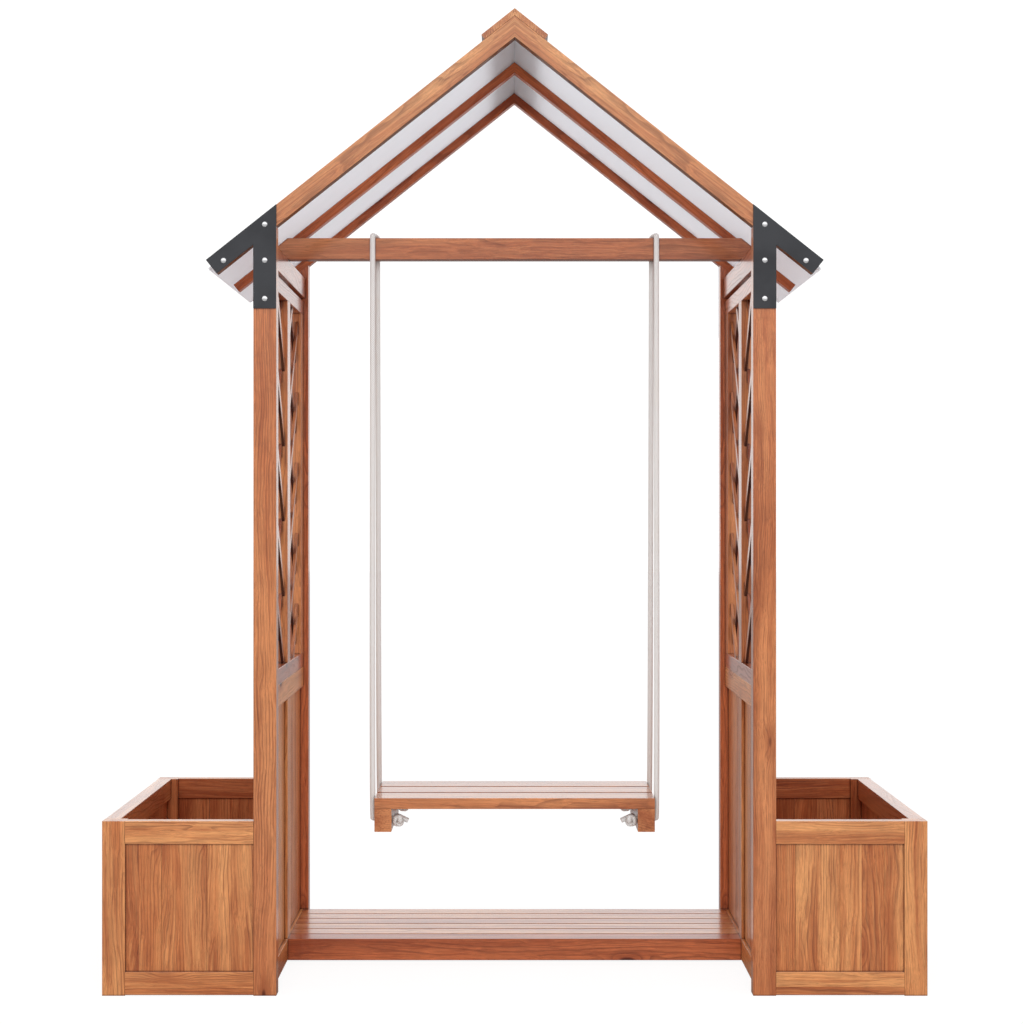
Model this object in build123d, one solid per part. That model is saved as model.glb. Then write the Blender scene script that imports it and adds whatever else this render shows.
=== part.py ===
from build123d import *
import math
import os

# Garden arbor with a rope-hung swing seat and a planter box against each side.
# Frame: +Z up, +X to the right seen from the front, the front faces -Y.
# Origin: middle of the footprint, on the ground. Lengths in mm, angles in degrees.

# Overall sizes
overall_height = 2450.0
overall_depth = 714.0
post_clear_width = 1183.0
planter_width = 375.5
eave_reach = 766.0
roof_pitch = 38.4

# Timber stock: posts and beams are wide x thick, panel frames are lighter
stock_wide = 57.0
stock_thick = 38.0
panel_thick = 28.0
edge_ease = 1.0
ease_limit_share = 0.2
ground_gap = 3.0
cut_overrun = 60.0

# Roof: fascia rafters front and rear, a low middle rafter, two sheets, two ridge caps
fascia_tall = 43.0
middle_rafter_tall = 22.0
sheet_thick = 6.0
sheet_overhang = 10.0
sheet_housing = 8.0
sheet_play = 0.4
ridge_gap = 0.3
cap_thick = 14.0
cap_wide = 106.0

# Gusset plates and their dome-headed bolts
plate_thick = 3.0
plate_leg_length = 158.0
bolt_end_margin = 24.0
bolt_spacing = 95.0
arm_bolt_setback = 33.4
arm_bolt_drop = 6.9
bolt_head_radius = 6.5
bolt_head_high = 3.2
bolt_shank_radius = 3.0
bolt_hole_play = 0.15
bolt_length = 20.0

# Side walls: a trellis panel over a boarded panel
wall_split_height = 757.0
trellis_top_gap = 9.0
trellis_rail_tall = 40.0
slat_wide = 20.0
slat_thick = 7.0
slat_inset = 8.0
slat_spacing = 200.0
slat_angle = 52.0
slat_min_span = 12.0
slat_place_shares = {"inner": (0.3, 0.47), "outer": (0.68, 0.54)}
wall_board_thick = 10.0
wall_boards_per_bay = 3
wall_board_gap = 1.0

# Deck behind the swing
deck_strips = 6
deck_gap = 4.0
deck_board_thick = 22.0

# Planter boxes
planter_height = 433.0
planter_ground_gap = 1.5
planter_board_thick = 16.0
planter_board_gap = 0.4
planter_board_ease = 0.3
planter_side_boards = 6
left_end_board_shares = (0.366, 0.354, 0.280)
right_end_board_shares = (0.154, 0.346, 0.345, 0.155)
floor_slat_thick = 14.0
floor_slat_gap = 12.0
floor_slats = 6
cleat_size = 28.0

# Swing seat
seat_length = 725.0
seat_depth = 287.0
seat_height = 460.0
seat_places = ("front", "middle", "rear")
seat_slat_thick = 28.0
seat_slat_gap = 10.0
batten_thick = 44.0
batten_tall = 59.0
hole_inset = 29.5

# Ropes and their knots
rope_radius = 7.0
rope_touch = 0.3
rope_hole_play = 1.5
rope_side_gap = 1.0
rope_seat_bend = 8.5
rope_top_bend = 8.8
rope_lower_bend = 200.0
rope_front_lean = 6.0
rope_rear_lean = -3.2
knot_radius = 18.0
knot_length = 33.0
knot_tail = 20.0
knot_tail_droop = 25.0
corner_share = 0.5858
arc_share = 0.9

# Places worked out from the sizes above: posts
front = -overall_depth / 2
post_back = front + stock_thick
bay_half = -post_back
post_in = post_clear_width / 2
post_out = post_in + stock_wide
post_mid = (post_in + post_out) / 2
planter_out = post_out + planter_width

# Places on the roof: line_apex is where the rafters' lower lines meet
sin_pitch = math.sin(math.radians(roof_pitch))
cos_pitch = math.cos(math.radians(roof_pitch))
tan_pitch = math.tan(math.radians(roof_pitch))
line_apex = overall_height - (cap_thick + fascia_tall) / cos_pitch
eave_run = (eave_reach - fascia_tall * sin_pitch) / cos_pitch
fascia_back = front + panel_thick

# Places on the side walls, and of the beam that rests on their top rails
top_rail_out = post_mid + stock_thick / 2
beam_bottom = line_apex - tan_pitch * top_rail_out
beam_top = beam_bottom + stock_wide
beam_back = -panel_thick / 2
beam_front = beam_back - stock_thick
beam_mid = (beam_front + beam_back) / 2
top_rail_bottom = beam_bottom - stock_wide
wall_in = post_mid - panel_thick / 2
wall_out = post_mid + panel_thick / 2
rail_top = ground_gap + stock_wide
stile_half = stock_wide / 2
trellis_low = wall_split_height + trellis_rail_tall
trellis_top = top_rail_bottom - trellis_top_gap
trellis_high = trellis_top - trellis_rail_tall
plate_foot = line_apex - tan_pitch * post_out - plate_leg_length
planter_board_z = (planter_ground_gap + stock_wide, planter_height - stock_wide)

# Places on the swing
seat_half = seat_length / 2
hole_front = beam_mid - seat_depth / 2 + hole_inset
hole_rear = beam_mid + seat_depth / 2 - hole_inset
hole_height = seat_height - seat_slat_thick - batten_tall / 2


def block(x_span, y_span, z_span):
    """A plain box from its low and high end on each axis."""
    spans = (x_span, y_span, z_span)
    sizes = [high - low for low, high in spans]
    return Pos(*[(low + high) / 2 for low, high in spans]) * Box(*sizes)


def bar(x_span, y_span, z_span, ease=edge_ease):
    """A straight timber or board, with its long edges eased."""
    sizes = [high - low for low, high in (x_span, y_span, z_span)]
    grain = (Axis.X, Axis.Y, Axis.Z)[sizes.index(max(sizes))]
    ease = min(ease, ease_limit_share * min(sizes))
    return chamfer(block(x_span, y_span, z_span).edges().filter_by(grain), ease)


def below_slope(shape, apex):
    """What lies under the right-hand slope line that meets the centre plane at apex."""
    slope = Plane(origin=(0, 0, apex), z_dir=(sin_pitch, 0, cos_pitch))
    return split(shape, bisect_by=slope, keep=Keep.BOTTOM)


def sloped(run, y_span, high_span, ridge_x=0, groove=None):
    """A right-hand roof piece: its run down the slope, its heights square to the lower line.

    groove gives the Y span and the height span of a housing cut along the whole piece.
    """
    start = -high_span[1] * tan_pitch - cut_overrun
    piece = bar((start, run), y_span, high_span)
    if groove:
        piece -= block((start - cut_overrun, run + cut_overrun), *groove)
    piece = Pos(0, 0, line_apex) * Rot(0, roof_pitch, 0) * piece
    return split(piece, bisect_by=Plane.YZ.offset(ridge_x), keep=Keep.TOP)


def flip_x(shape):
    """The mirror image on the other side of the arbor."""
    return mirror(shape, about=Plane.YZ)


def flip_y(shape):
    """The mirror image at the other end, front to rear."""
    return mirror(shape, about=Plane.XZ)


def both_ends(shapes):
    """The given solids and their mirror images front to rear."""
    return shapes + [flip_y(shape) for shape in shapes]


def write(name, solids):
    """One file per node: one solid, or a group of separate solids."""
    shape = solids[0] if len(solids) == 1 else Compound(solids)
    export_step(shape, f"parts/{name}.step")


def write_pair(stem, solids):
    """The right-hand solids under one name and their mirror images under the other."""
    write(f"{stem}_right", solids)
    write(f"{stem}_left", [flip_x(solid) for solid in solids])


def shared_spans(low, high, shares, gap):
    """Spans side by side between low and high, sized by their shares, with gaps between."""
    room = high - low - gap * (len(shares) - 1)
    spans = []
    for share in shares:
        width = room * share / sum(shares)
        spans.append((low, low + width))
        low += width + gap
    return spans


def even_spans(low, high, count, gap):
    """Equal spans side by side between low and high, with gaps between."""
    return shared_spans(low, high, [1] * count, gap)


# Gusset plates and bolts


def bolt_points():
    """X and Z of the four bolts of a right-hand plate."""
    low = plate_foot + bolt_end_margin
    fascia_mid = fascia_tall / 2
    high = line_apex + fascia_mid / cos_pitch - tan_pitch * post_mid
    run = eave_run - arm_bolt_setback
    rise = fascia_mid - arm_bolt_drop
    arm_x = run * cos_pitch + rise * sin_pitch
    arm_z = line_apex - run * sin_pitch + rise * cos_pitch
    return [(post_mid, low), (post_mid, low + bolt_spacing), (post_mid, high), (arm_x, arm_z)]


def drill(shape):
    """The shape with the four bolt holes of the front right corner."""
    radius = bolt_shank_radius + bolt_hole_play
    depth = bolt_length + bolt_hole_play
    centre = front - plate_thick + depth / 2
    for x, z in bolt_points():
        shape -= Pos(x, centre, z) * Rot(90, 0, 0) * Cylinder(radius, depth)
    return shape


def make_bolt(x, z):
    """A dome-headed bolt of the front right corner, its shank in the timber."""
    dome_radius = (bolt_head_radius**2 + bolt_head_high**2) / (2 * bolt_head_high)
    dome = Pos(0, 0, bolt_head_high - dome_radius) * Sphere(dome_radius)
    head = split(dome, bisect_by=Plane.XY, keep=Keep.TOP)
    shank = Pos(0, 0, -bolt_length / 2) * Cylinder(bolt_shank_radius, bolt_length)
    return Pos(x, front - plate_thick, z) * Rot(90, 0, 0) * (head + shank)


def make_plate():
    """The flat steel gusset on the front right post and fascia."""
    top_apex = line_apex + fascia_tall / cos_pitch
    outline = Polyline(
        (post_in, plate_foot),
        (post_out, plate_foot),
        (post_out, line_apex - tan_pitch * post_out),
        (eave_run * cos_pitch, line_apex - eave_run * sin_pitch),
        (eave_reach, top_apex - tan_pitch * eave_reach),
        (post_in, top_apex - tan_pitch * post_in),
        close=True,
    )
    return extrude(Plane.XZ.offset(-front) * make_face(outline), plate_thick)


def write_brackets():
    """Four drilled plates and one group of bolts."""
    plate = drill(make_plate())
    write_pair("bracket_front", [plate])
    write_pair("bracket_rear", [flip_y(plate)])
    bolts = both_ends([make_bolt(x, z) for x, z in bolt_points()])
    write("bracket_bolts", bolts + [flip_x(piece) for piece in bolts])


# Posts and roof


def write_posts():
    """Four posts, each cut on the slope under its fascia."""
    tall = line_apex - tan_pitch * post_in + cut_overrun
    post = below_slope(bar((post_in, post_out), (front, post_back), (0, tall)), line_apex)
    post = drill(post)
    write_pair("post_front", [post])
    write_pair("post_rear", [flip_y(post)])


def write_roof():
    """Fascias that house the sheets, the middle rafters, the sheets and the ridge caps."""
    sheet_top = middle_rafter_tall + sheet_thick
    sheet_front = fascia_back - sheet_housing
    groove_y = (sheet_front - sheet_play, fascia_back + cut_overrun)
    groove = (groove_y, (middle_rafter_tall, sheet_top + sheet_play))
    fascia = sloped(eave_run, (front, fascia_back), (0, fascia_tall), groove=groove)
    fascia = drill(fascia)
    middle = sloped(eave_run, (beam_back, -beam_back), (0, middle_rafter_tall))
    sheet_y = (sheet_front, -sheet_front)
    sheet_run = eave_run + sheet_overhang
    sheet = sloped(sheet_run, sheet_y, (middle_rafter_tall, sheet_top), ridge_gap / 2)
    cap_run = cap_wide - (fascia_tall + cap_thick) * tan_pitch
    cap = sloped(cap_run, (front, -front), (fascia_tall, fascia_tall + cap_thick))
    write_pair("rafter_front", [fascia])
    write_pair("rafter_middle", [middle])
    write_pair("rafter_rear", [flip_y(fascia)])
    write_pair("roof_sheet", [sheet])
    write_pair("ridge_cap", [cap])


def write_beam():
    """The swing's crossbeam, its top corners cut to the sheets' slope."""
    beam = bar((-top_rail_out, top_rail_out), (beam_front, beam_back), (beam_bottom, beam_top))
    sheet_apex = line_apex + middle_rafter_tall / cos_pitch
    beam = below_slope(beam, sheet_apex)
    beam = flip_x(below_slope(flip_x(beam), sheet_apex))
    write("swing_beam", [beam])


# Side walls


def trellis_slats(side_y, layer_in, lean, share):
    """One layer of slats in one bay, leaning up to the rear (lean 1) or to the front (lean -1).

    layer_in is the layer's inner face, and share places the slats along their spacing.
    """
    low_y, high_y = side_y
    wide = high_y - low_y
    tall = trellis_high - trellis_low
    angle = math.radians(slat_angle)
    reach = (wide + tall) / math.cos(angle)
    opening = block((layer_in, layer_in + slat_thick), side_y, (trellis_low, trellis_high))
    half_band = slat_wide / 2 / math.cos(angle)
    travel = tall / 2 + wide / 2 * math.tan(angle) + half_band - slat_min_span
    first = math.ceil(-travel / slat_spacing - share)
    last = math.floor(travel / slat_spacing - share)
    middle = ((low_y + high_y) / 2, (trellis_low + trellis_high) / 2)
    slats = []
    for step in range(first, last + 1):
        strip = Pos(0, 0, (step + share) * slat_spacing) * Rot(lean * slat_angle, 0, 0)
        strip *= Box(slat_thick, reach, slat_wide)
        slats += (Pos(layer_in + slat_thick / 2, *middle) * strip & opening).solids()
    return slats


def write_trellis():
    """Each side's trellis: two rails, three stiles and two layers of crossing slats."""
    x_span = (wall_in, wall_out)
    rails = [
        bar(x_span, (-bay_half, bay_half), (wall_split_height, trellis_low)),
        bar(x_span, (-bay_half, bay_half), (trellis_high, trellis_top)),
    ]
    stile_z = (trellis_low, trellis_high)
    outer_y = (-bay_half, -bay_half + stock_wide)
    stiles = both_ends([bar(x_span, outer_y, stile_z)])
    stiles.append(bar(x_span, (-stile_half, stile_half), stile_z))
    write_pair("trellis_rails", rails)
    write_pair("trellis_stiles", stiles)
    front_bay = (-bay_half + stock_wide, -stile_half)
    rear_bay = (stile_half, bay_half - stock_wide)
    layers = {"inner": wall_in + slat_inset, "outer": wall_in + slat_inset + slat_thick}
    for lean, (layer, layer_in) in zip((1, -1), layers.items()):
        front_share, rear_share = slat_place_shares[layer]
        slats = trellis_slats(front_bay, layer_in, -lean, front_share)
        slats += trellis_slats(rear_bay, layer_in, lean, rear_share)
        write_pair(f"trellis_slats_{layer}", slats)


def write_walls():
    """Each side's top rail, and its lower panel of rails, middle stile and boards."""
    depth = (-bay_half, bay_half)
    top_x = (post_mid - stock_thick / 2, top_rail_out)
    top_rail = bar(top_x, depth, (top_rail_bottom, beam_bottom))
    top_rail = below_slope(top_rail, line_apex)
    write_pair("top_rail", [top_rail])
    x_span = (wall_in, wall_out)
    upper_z = (wall_split_height - stock_wide, wall_split_height)
    rails = [bar(x_span, depth, (ground_gap, rail_top)), bar(x_span, depth, upper_z)]
    panel_z = (rail_top, upper_z[0])
    stile = bar(x_span, (-stile_half, stile_half), panel_z)
    board_x = (post_mid - wall_board_thick / 2, post_mid + wall_board_thick / 2)
    bay = even_spans(-bay_half, -stile_half, wall_boards_per_bay, wall_board_gap)
    boards = both_ends([bar(board_x, span, panel_z) for span in bay])
    write_pair("wall_rails", rails)
    write_pair("wall_stile", [stile])
    write_pair("wall_boards", boards)


# Deck


def write_deck():
    """The deck between the side walls: front apron, boards, and the bearers under them."""
    strips = even_spans(-stile_half, bay_half, deck_strips, deck_gap)
    x_span = (-wall_in, wall_in)
    apron = bar(x_span, strips[0], (ground_gap, rail_top))
    board_z = (rail_top - deck_board_thick, rail_top)
    boards = [bar(x_span, span, board_z) for span in strips[1:]]
    bearer_z = (ground_gap, board_z[0])
    rear_y = (bay_half - stock_thick, bay_half)
    bearer_y = (strips[0][1], rear_y[0])
    side_x = (wall_in - stock_thick, wall_in)
    side = bar(side_x, bearer_y, bearer_z)
    middle = bar((-stock_thick / 2, stock_thick / 2), bearer_y, bearer_z)
    rear = bar(x_span, rear_y, bearer_z)
    write("deck_apron", [apron])
    write("deck_boards", boards)
    write("deck_bearers", [side, flip_x(side), middle, rear])


# Planters


def end_boards(shares):
    """The boards of a right-hand planter's front panel, set in the middle of its rails."""
    inset = (panel_thick - planter_board_thick) / 2
    board_y = (front + inset, fascia_back - inset)
    spans = shared_spans(post_out, planter_out - stock_wide, shares, planter_board_gap)
    return [bar(span, board_y, planter_board_z, planter_board_ease) for span in spans]


def write_planters():
    """Both planters: corner legs, rails, boards, floor slats and the cleats under them."""
    leg_in = planter_out - stock_wide
    legs = both_ends([bar((leg_in, planter_out), (front, post_back), (0, planter_height))])
    rail_zs = [(planter_ground_gap, planter_board_z[0]), (planter_board_z[1], planter_height)]
    end_rails = [bar((post_out, leg_in), (front, fascia_back), span) for span in rail_zs]
    side_x = (planter_out - stock_thick, planter_out)
    depth = (-bay_half, bay_half)
    side_rails = [bar(side_x, depth, span) for span in rail_zs]
    inset = (stock_thick - planter_board_thick) / 2
    board_x = (side_x[0] + inset, side_x[1] - inset)
    side_spans = even_spans(-bay_half, bay_half, planter_side_boards, planter_board_gap)
    side_boards = [
        bar(board_x, span, planter_board_z, planter_board_ease) for span in side_spans
    ]
    right = both_ends(end_boards(right_end_board_shares)) + side_boards
    left = both_ends(end_boards(left_end_board_shares)) + side_boards
    cleat_z = (planter_ground_gap, planter_ground_gap + cleat_size)
    cleats = [
        bar((wall_out, wall_out + cleat_size), depth, cleat_z),
        bar((side_x[0] - cleat_size, side_x[0]), depth, cleat_z),
    ]
    floor_z = (cleat_z[1], cleat_z[1] + floor_slat_thick)
    floor_spans = even_spans(-bay_half, bay_half, floor_slats, floor_slat_gap)
    floor = [bar((wall_out, side_x[0]), span, floor_z) for span in floor_spans]
    write_pair("planter_legs", legs)
    write_pair("planter_end_rails", both_ends(end_rails))
    write_pair("planter_side_rails", side_rails)
    write("planter_boards_right", right)
    write("planter_boards_left", [flip_x(solid) for solid in left])
    write_pair("planter_floor", floor)
    write_pair("planter_cleats", cleats)


# Swing


def write_seat():
    """Three seat slats on two battens, each batten bored for both runs of its rope."""
    half_depth = seat_depth / 2
    slat_z = (seat_height - seat_slat_thick, seat_height)
    batten_z = (slat_z[0] - batten_tall, slat_z[0])
    reach = (beam_mid - half_depth, beam_mid + half_depth)
    spans = even_spans(*reach, len(seat_places), seat_slat_gap)
    for place, span in zip(seat_places, spans):
        write(f"seat_slat_{place}", [bar((-seat_half, seat_half), span, slat_z)])
    batten_y = (spans[0][0], spans[-1][1])
    batten = bar((seat_half - batten_thick, seat_half), batten_y, batten_z)
    bore = Rot(0, 90, 0) * Cylinder(rope_radius + rope_hole_play, batten_thick + cut_overrun)
    for hole_y in (hole_front, hole_rear):
        batten -= Pos(seat_half - batten_thick / 2, hole_y, hole_height) * bore
    write_pair("seat_batten", [batten])


def rope_route():
    """The right-hand rope's points, from the front knot over the beam to the rear knot."""
    start_x = seat_half - batten_thick - rope_touch
    beside = seat_half + rope_side_gap + rope_radius
    off = rope_radius + rope_touch
    seat_cut = rope_seat_bend * corner_share
    top_cut = rope_top_bend * corner_share
    over = beam_top + off
    fore, aft = beam_front - off, beam_back + off
    fore_x, aft_x = beside + rope_front_lean, beside + rope_rear_lean
    ease_z = beam_bottom + rope_touch
    return [
        (start_x, hole_front, hole_height),
        (beside - seat_cut, hole_front, hole_height),
        (beside, hole_front, hole_height + seat_cut),
        (fore_x, fore, ease_z),
        (fore_x, fore, over - top_cut),
        (fore_x, fore + top_cut, over),
        (aft_x, aft - top_cut, over),
        (aft_x, aft, over - top_cut),
        (aft_x, aft, ease_z),
        (beside, hole_rear, hole_height + seat_cut),
        (beside - seat_cut, hole_rear, hole_height),
        (start_x, hole_rear, hole_height),
    ]


def make_rope():
    """The right-hand rope: straight taut runs joined by arcs round the edges it bends over."""
    points = rope_route()
    seat_bend = rope_seat_bend * arc_share
    top_bend = rope_top_bend * arc_share
    one_side = [seat_bend, seat_bend, rope_lower_bend, top_bend, top_bend]
    radii = one_side + one_side[::-1]
    path = FilletPolyline(*points, radius=radii)
    start = Plane(origin=points[0], z_dir=Vector(*points[1]) - Vector(*points[0]))
    rope = sweep(start * Circle(rope_radius), path=path)
    full = math.pi * rope_radius**2 * path.length
    print(f"rope: length {path.length:.1f}, radii {[round(radius, 1) for radius in radii]}")
    print(f"rope: volume {rope.volume:.0f}, section times length {full:.0f}")
    return rope


def make_knot(y):
    """A stopper knot against the right-hand batten's inner face, with its drooping tail."""
    foot = (rope_radius, 0)
    head = (rope_radius, knot_length)
    outline = [
        ThreePointArc(foot, (knot_radius, knot_length / 2), head),
        Polyline(head, (0, knot_length), (0, 0), foot),
    ]
    body = revolve(Plane.XZ * make_face(outline), Axis.Z)
    tail_length = knot_tail + rope_radius
    tail = Pos(0, 0, tail_length / 2) * Cylinder(rope_radius, tail_length)
    tail = Pos(0, 0, knot_length - rope_radius) * Rot(0, knot_tail_droop, 0) * tail
    place = Pos(seat_half - batten_thick - rope_touch, y, hole_height)
    return place * Rot(0, -90, 0) * (body + tail)


def write_ropes():
    """A rope at each end of the seat, and a knot on each rope's two ends."""
    write_pair("rope", [make_rope()])
    knots = [make_knot(hole_front), make_knot(hole_rear)]
    write("rope_knots", knots + [flip_x(knot) for knot in knots])


os.makedirs("parts", exist_ok=True)
write_posts()
write_brackets()
write_roof()
write_beam()
write_trellis()
write_walls()
write_deck()
write_planters()
write_seat()
write_ropes()
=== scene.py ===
import logging
import math
from dataclasses import dataclass, field
from enum import Enum
from typing import Iterable, Protocol, Sequence, Union

import bpy
from mathutils import Euler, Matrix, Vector


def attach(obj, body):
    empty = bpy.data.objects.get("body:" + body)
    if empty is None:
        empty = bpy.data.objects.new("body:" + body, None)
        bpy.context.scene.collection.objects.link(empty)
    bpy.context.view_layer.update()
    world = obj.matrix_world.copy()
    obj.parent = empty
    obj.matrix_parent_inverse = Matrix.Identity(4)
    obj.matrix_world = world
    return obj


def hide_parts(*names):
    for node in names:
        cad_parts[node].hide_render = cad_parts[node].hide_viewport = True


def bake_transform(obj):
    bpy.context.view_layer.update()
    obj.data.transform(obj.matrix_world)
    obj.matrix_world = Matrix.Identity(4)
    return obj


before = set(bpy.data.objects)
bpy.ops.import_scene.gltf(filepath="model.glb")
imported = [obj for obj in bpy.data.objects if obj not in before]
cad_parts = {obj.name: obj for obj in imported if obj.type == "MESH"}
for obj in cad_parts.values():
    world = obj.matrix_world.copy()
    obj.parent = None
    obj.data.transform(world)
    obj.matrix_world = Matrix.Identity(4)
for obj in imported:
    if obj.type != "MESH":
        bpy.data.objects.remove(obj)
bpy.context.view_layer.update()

# A garden arbor of oiled hardwood with a rope-hung seat, in metres, in the frame of the model.
# The timbers, plates, bolts and sheets are the model's own solids with made finishes.
# The ropes and their knots are built here, and the studio stands round the whole.

NODES: dict[str, bpy.types.Object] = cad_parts
LOG = logging.getLogger("arbor_swing")

Colour = tuple[float, float, float, float]
Triple = tuple[float, float, float]
Span = tuple[float, float, float, float]
Value = Union[bpy.types.NodeSocket, float, Sequence[float]]

# Where a set of timbers is one board on an axis, its start lies beyond the arbor and its step is
# wider than the arbor. A step of a metre from the middle only tells the two sides apart.
BEYOND = 5.0
WIDE = 10.0
SIDE_STEP = 1.0

# The places of a Mix node's colour sockets
MIX_INPUTS = (0, 6, 7)
MIX_OUTPUT = 2


def tint(red: int, green: int, blue: int) -> Colour:
    """Turn a colour as it is seen on a screen into the linear values that shaders take.

    Args:
        red: Red from 0 to 255.
        green: Green from 0 to 255.
        blue: Blue from 0 to 255.

    Returns:
        The linear colour, with full alpha.
    """
    linear = []
    for part in (red, green, blue):
        share = part / 255
        # The curve of an ordinary screen, with its straight foot
        linear.append(share / 12.92 if share <= 0.04045 else ((share + 0.055) / 1.055) ** 2.4)
    return (linear[0], linear[1], linear[2], 1.0)


class Grain(Enum):
    """Which way a timber's fibres run, as the turn that lays them along local X."""

    ACROSS = (0.0, 0.0, 0.0)
    DEEP = (0.0, 0.0, -math.pi / 2)
    UPRIGHT = (0.0, math.pi / 2, 0.0)
    FALLS_LEFT = (0.0, math.radians(38.4), 0.0)
    RISES_OUTWARD = (-math.radians(52.0), 0.0, -math.pi / 2)
    FALLS_OUTWARD = (math.radians(52.0), 0.0, -math.pi / 2)


class Tone(Enum):
    """The oiled hardwood's shades, each as its light, middle and dark wood and its ring lines. The
    ruddy and deep ones also serve as painted shade on parts that lie in shade.
    """

    NATURAL = (tint(233, 161, 101), tint(202, 121, 69), tint(160, 79, 41), tint(94, 37, 16))
    GOLDEN = (tint(218, 154, 100), tint(186, 115, 68), tint(144, 74, 40), tint(88, 36, 16))
    WARM = (tint(216, 139, 88), tint(187, 107, 63), tint(147, 73, 38), tint(90, 35, 15))
    RUDDY = (tint(211, 119, 72), tint(178, 91, 52), tint(141, 60, 31), tint(84, 29, 13))
    DEEP = (tint(176, 94, 52), tint(146, 68, 36), tint(110, 42, 21), tint(62, 20, 9))


class Side(Enum):
    """The arbor's two sides, with the sign of X on each."""

    LEFT = -1.0
    RIGHT = 1.0

    @property
    def word(self) -> str:
        """The side's name as the nodes' names end in it."""
        return self.name.lower()


class NodeGraph:
    """Adds nodes to one node tree and wires them.

    Attributes:
        tree: The node tree that is filled.
    """

    def __init__(self, tree: bpy.types.NodeTree) -> None:
        """Take the tree to fill, which is a material's or a group's."""
        self.tree = tree

    def node(self, kind: str, **settings: object) -> bpy.types.Node:
        """Add one node.

        Args:
            kind: The node's type name without its ShaderNode prefix.
            **settings: Attributes that are set on the node.

        Returns:
            The new node.
        """
        made = self.tree.nodes.new("ShaderNode" + kind)
        for name, value in settings.items():
            setattr(made, name, value)
        return made

    def feed(self, socket: bpy.types.NodeSocket, value: Value) -> None:
        """Link a socket to another one, or set its plain value.

        Args:
            socket: The input that is fed.
            value: An output socket, a number or a vector.
        """
        if isinstance(value, bpy.types.NodeSocket):
            self.tree.links.new(value, socket)
        else:
            socket.default_value = value

    def math(self, operation: str, first: Value, second: Value = 0.0) -> bpy.types.NodeSocket:
        """Work out a number from one or two numbers.

        Args:
            operation: The Math node's operation.
            first: The first number.
            second: The second number, if the operation has one.

        Returns:
            The result's socket.
        """
        made = self.node("Math", operation=operation)
        self.feed(made.inputs[0], first)
        self.feed(made.inputs[1], second)
        return made.outputs[0]

    def vector(self, operation: str, first: Value, second: Value) -> bpy.types.NodeSocket:
        """Work out a vector from two vectors.

        Args:
            operation: The Vector Math node's operation.
            first: The first vector.
            second: The second vector.

        Returns:
            The result's socket.
        """
        made = self.node("VectorMath", operation=operation)
        self.feed(made.inputs[0], first)
        self.feed(made.inputs[1], second)
        return made.outputs["Value" if operation in ("DOT_PRODUCT", "LENGTH") else "Vector"]

    def spread(
        self, value: Value, low: float, high: float, out_low: Value = 0.0, out_high: Value = 1.0
    ) -> bpy.types.NodeSocket:
        """Ease a number from one range to another, and hold it at the ends.

        Args:
            value: The number.
            low: Where it starts to rise.
            high: Where it stops.
            out_low: The result at low.
            out_high: The result at high.

        Returns:
            The result's socket.
        """
        made = self.node("MapRange", interpolation_type="SMOOTHSTEP")
        for socket, given in zip(made.inputs, (value, low, high, out_low, out_high)):
            self.feed(socket, given)
        return made.outputs["Result"]

    def colour(
        self, factor: Value, first: Value, second: Value, mode: str = "MIX"
    ) -> bpy.types.NodeSocket:
        """Mix two colours.

        Args:
            factor: How much of the second colour, from 0 to 1.
            first: The first colour.
            second: The second colour.
            mode: The Mix node's way of mixing.

        Returns:
            The mixed colour's socket.
        """
        made = self.node("Mix", data_type="RGBA", blend_type=mode)
        for place, value in zip(MIX_INPUTS, (factor, first, second)):
            self.feed(made.inputs[place], value)
        return made.outputs[MIX_OUTPUT]

    def shaders(
        self, factor: Value, first: bpy.types.NodeSocket, second: bpy.types.NodeSocket
    ) -> bpy.types.NodeSocket:
        """Mix two shaders.

        Args:
            factor: How much of the second shader, from 0 to 1.
            first: The first shader.
            second: The second shader.

        Returns:
            The mixed shader's socket.
        """
        made = self.node("MixShader")
        for socket, value in zip(made.inputs, (factor, first, second)):
            self.feed(socket, value)
        return made.outputs[0]

    def split(self, vector: Value) -> bpy.types.NodeOutputs:
        """Take a vector apart.

        Args:
            vector: The vector.

        Returns:
            The sockets of its X, Y and Z.
        """
        made = self.node("SeparateXYZ")
        self.feed(made.inputs[0], vector)
        return made.outputs

    def join(self, first: Value, second: Value, third: Value) -> bpy.types.NodeSocket:
        """Put a vector together.

        Args:
            first: Its X.
            second: Its Y.
            third: Its Z.

        Returns:
            The vector's socket.
        """
        made = self.node("CombineXYZ")
        for socket, value in zip(made.inputs, (first, second, third)):
            self.feed(socket, value)
        return made.outputs[0]

    def coordinate(self, kind: str = "Object") -> bpy.types.NodeSocket:
        """Read the point in the model's own frame, or another coordinate by its name."""
        return self.node("TexCoord").outputs[kind]

    def noise(self, place: Value, stretch: Triple, detail: float = 1.0) -> bpy.types.Node:
        """Add a noise that is stretched along the axes.

        Args:
            place: The point, in metres.
            stretch: How many features there are in a metre on each axis.
            detail: How many finer layers the noise has.

        Returns:
            The Noise Texture node.
        """
        made = self.node("TexNoise")
        self.feed(made.inputs["Vector"], self.vector("MULTIPLY", place, stretch))
        made.inputs["Scale"].default_value = 1.0
        made.inputs["Detail"].default_value = detail
        return made


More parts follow.
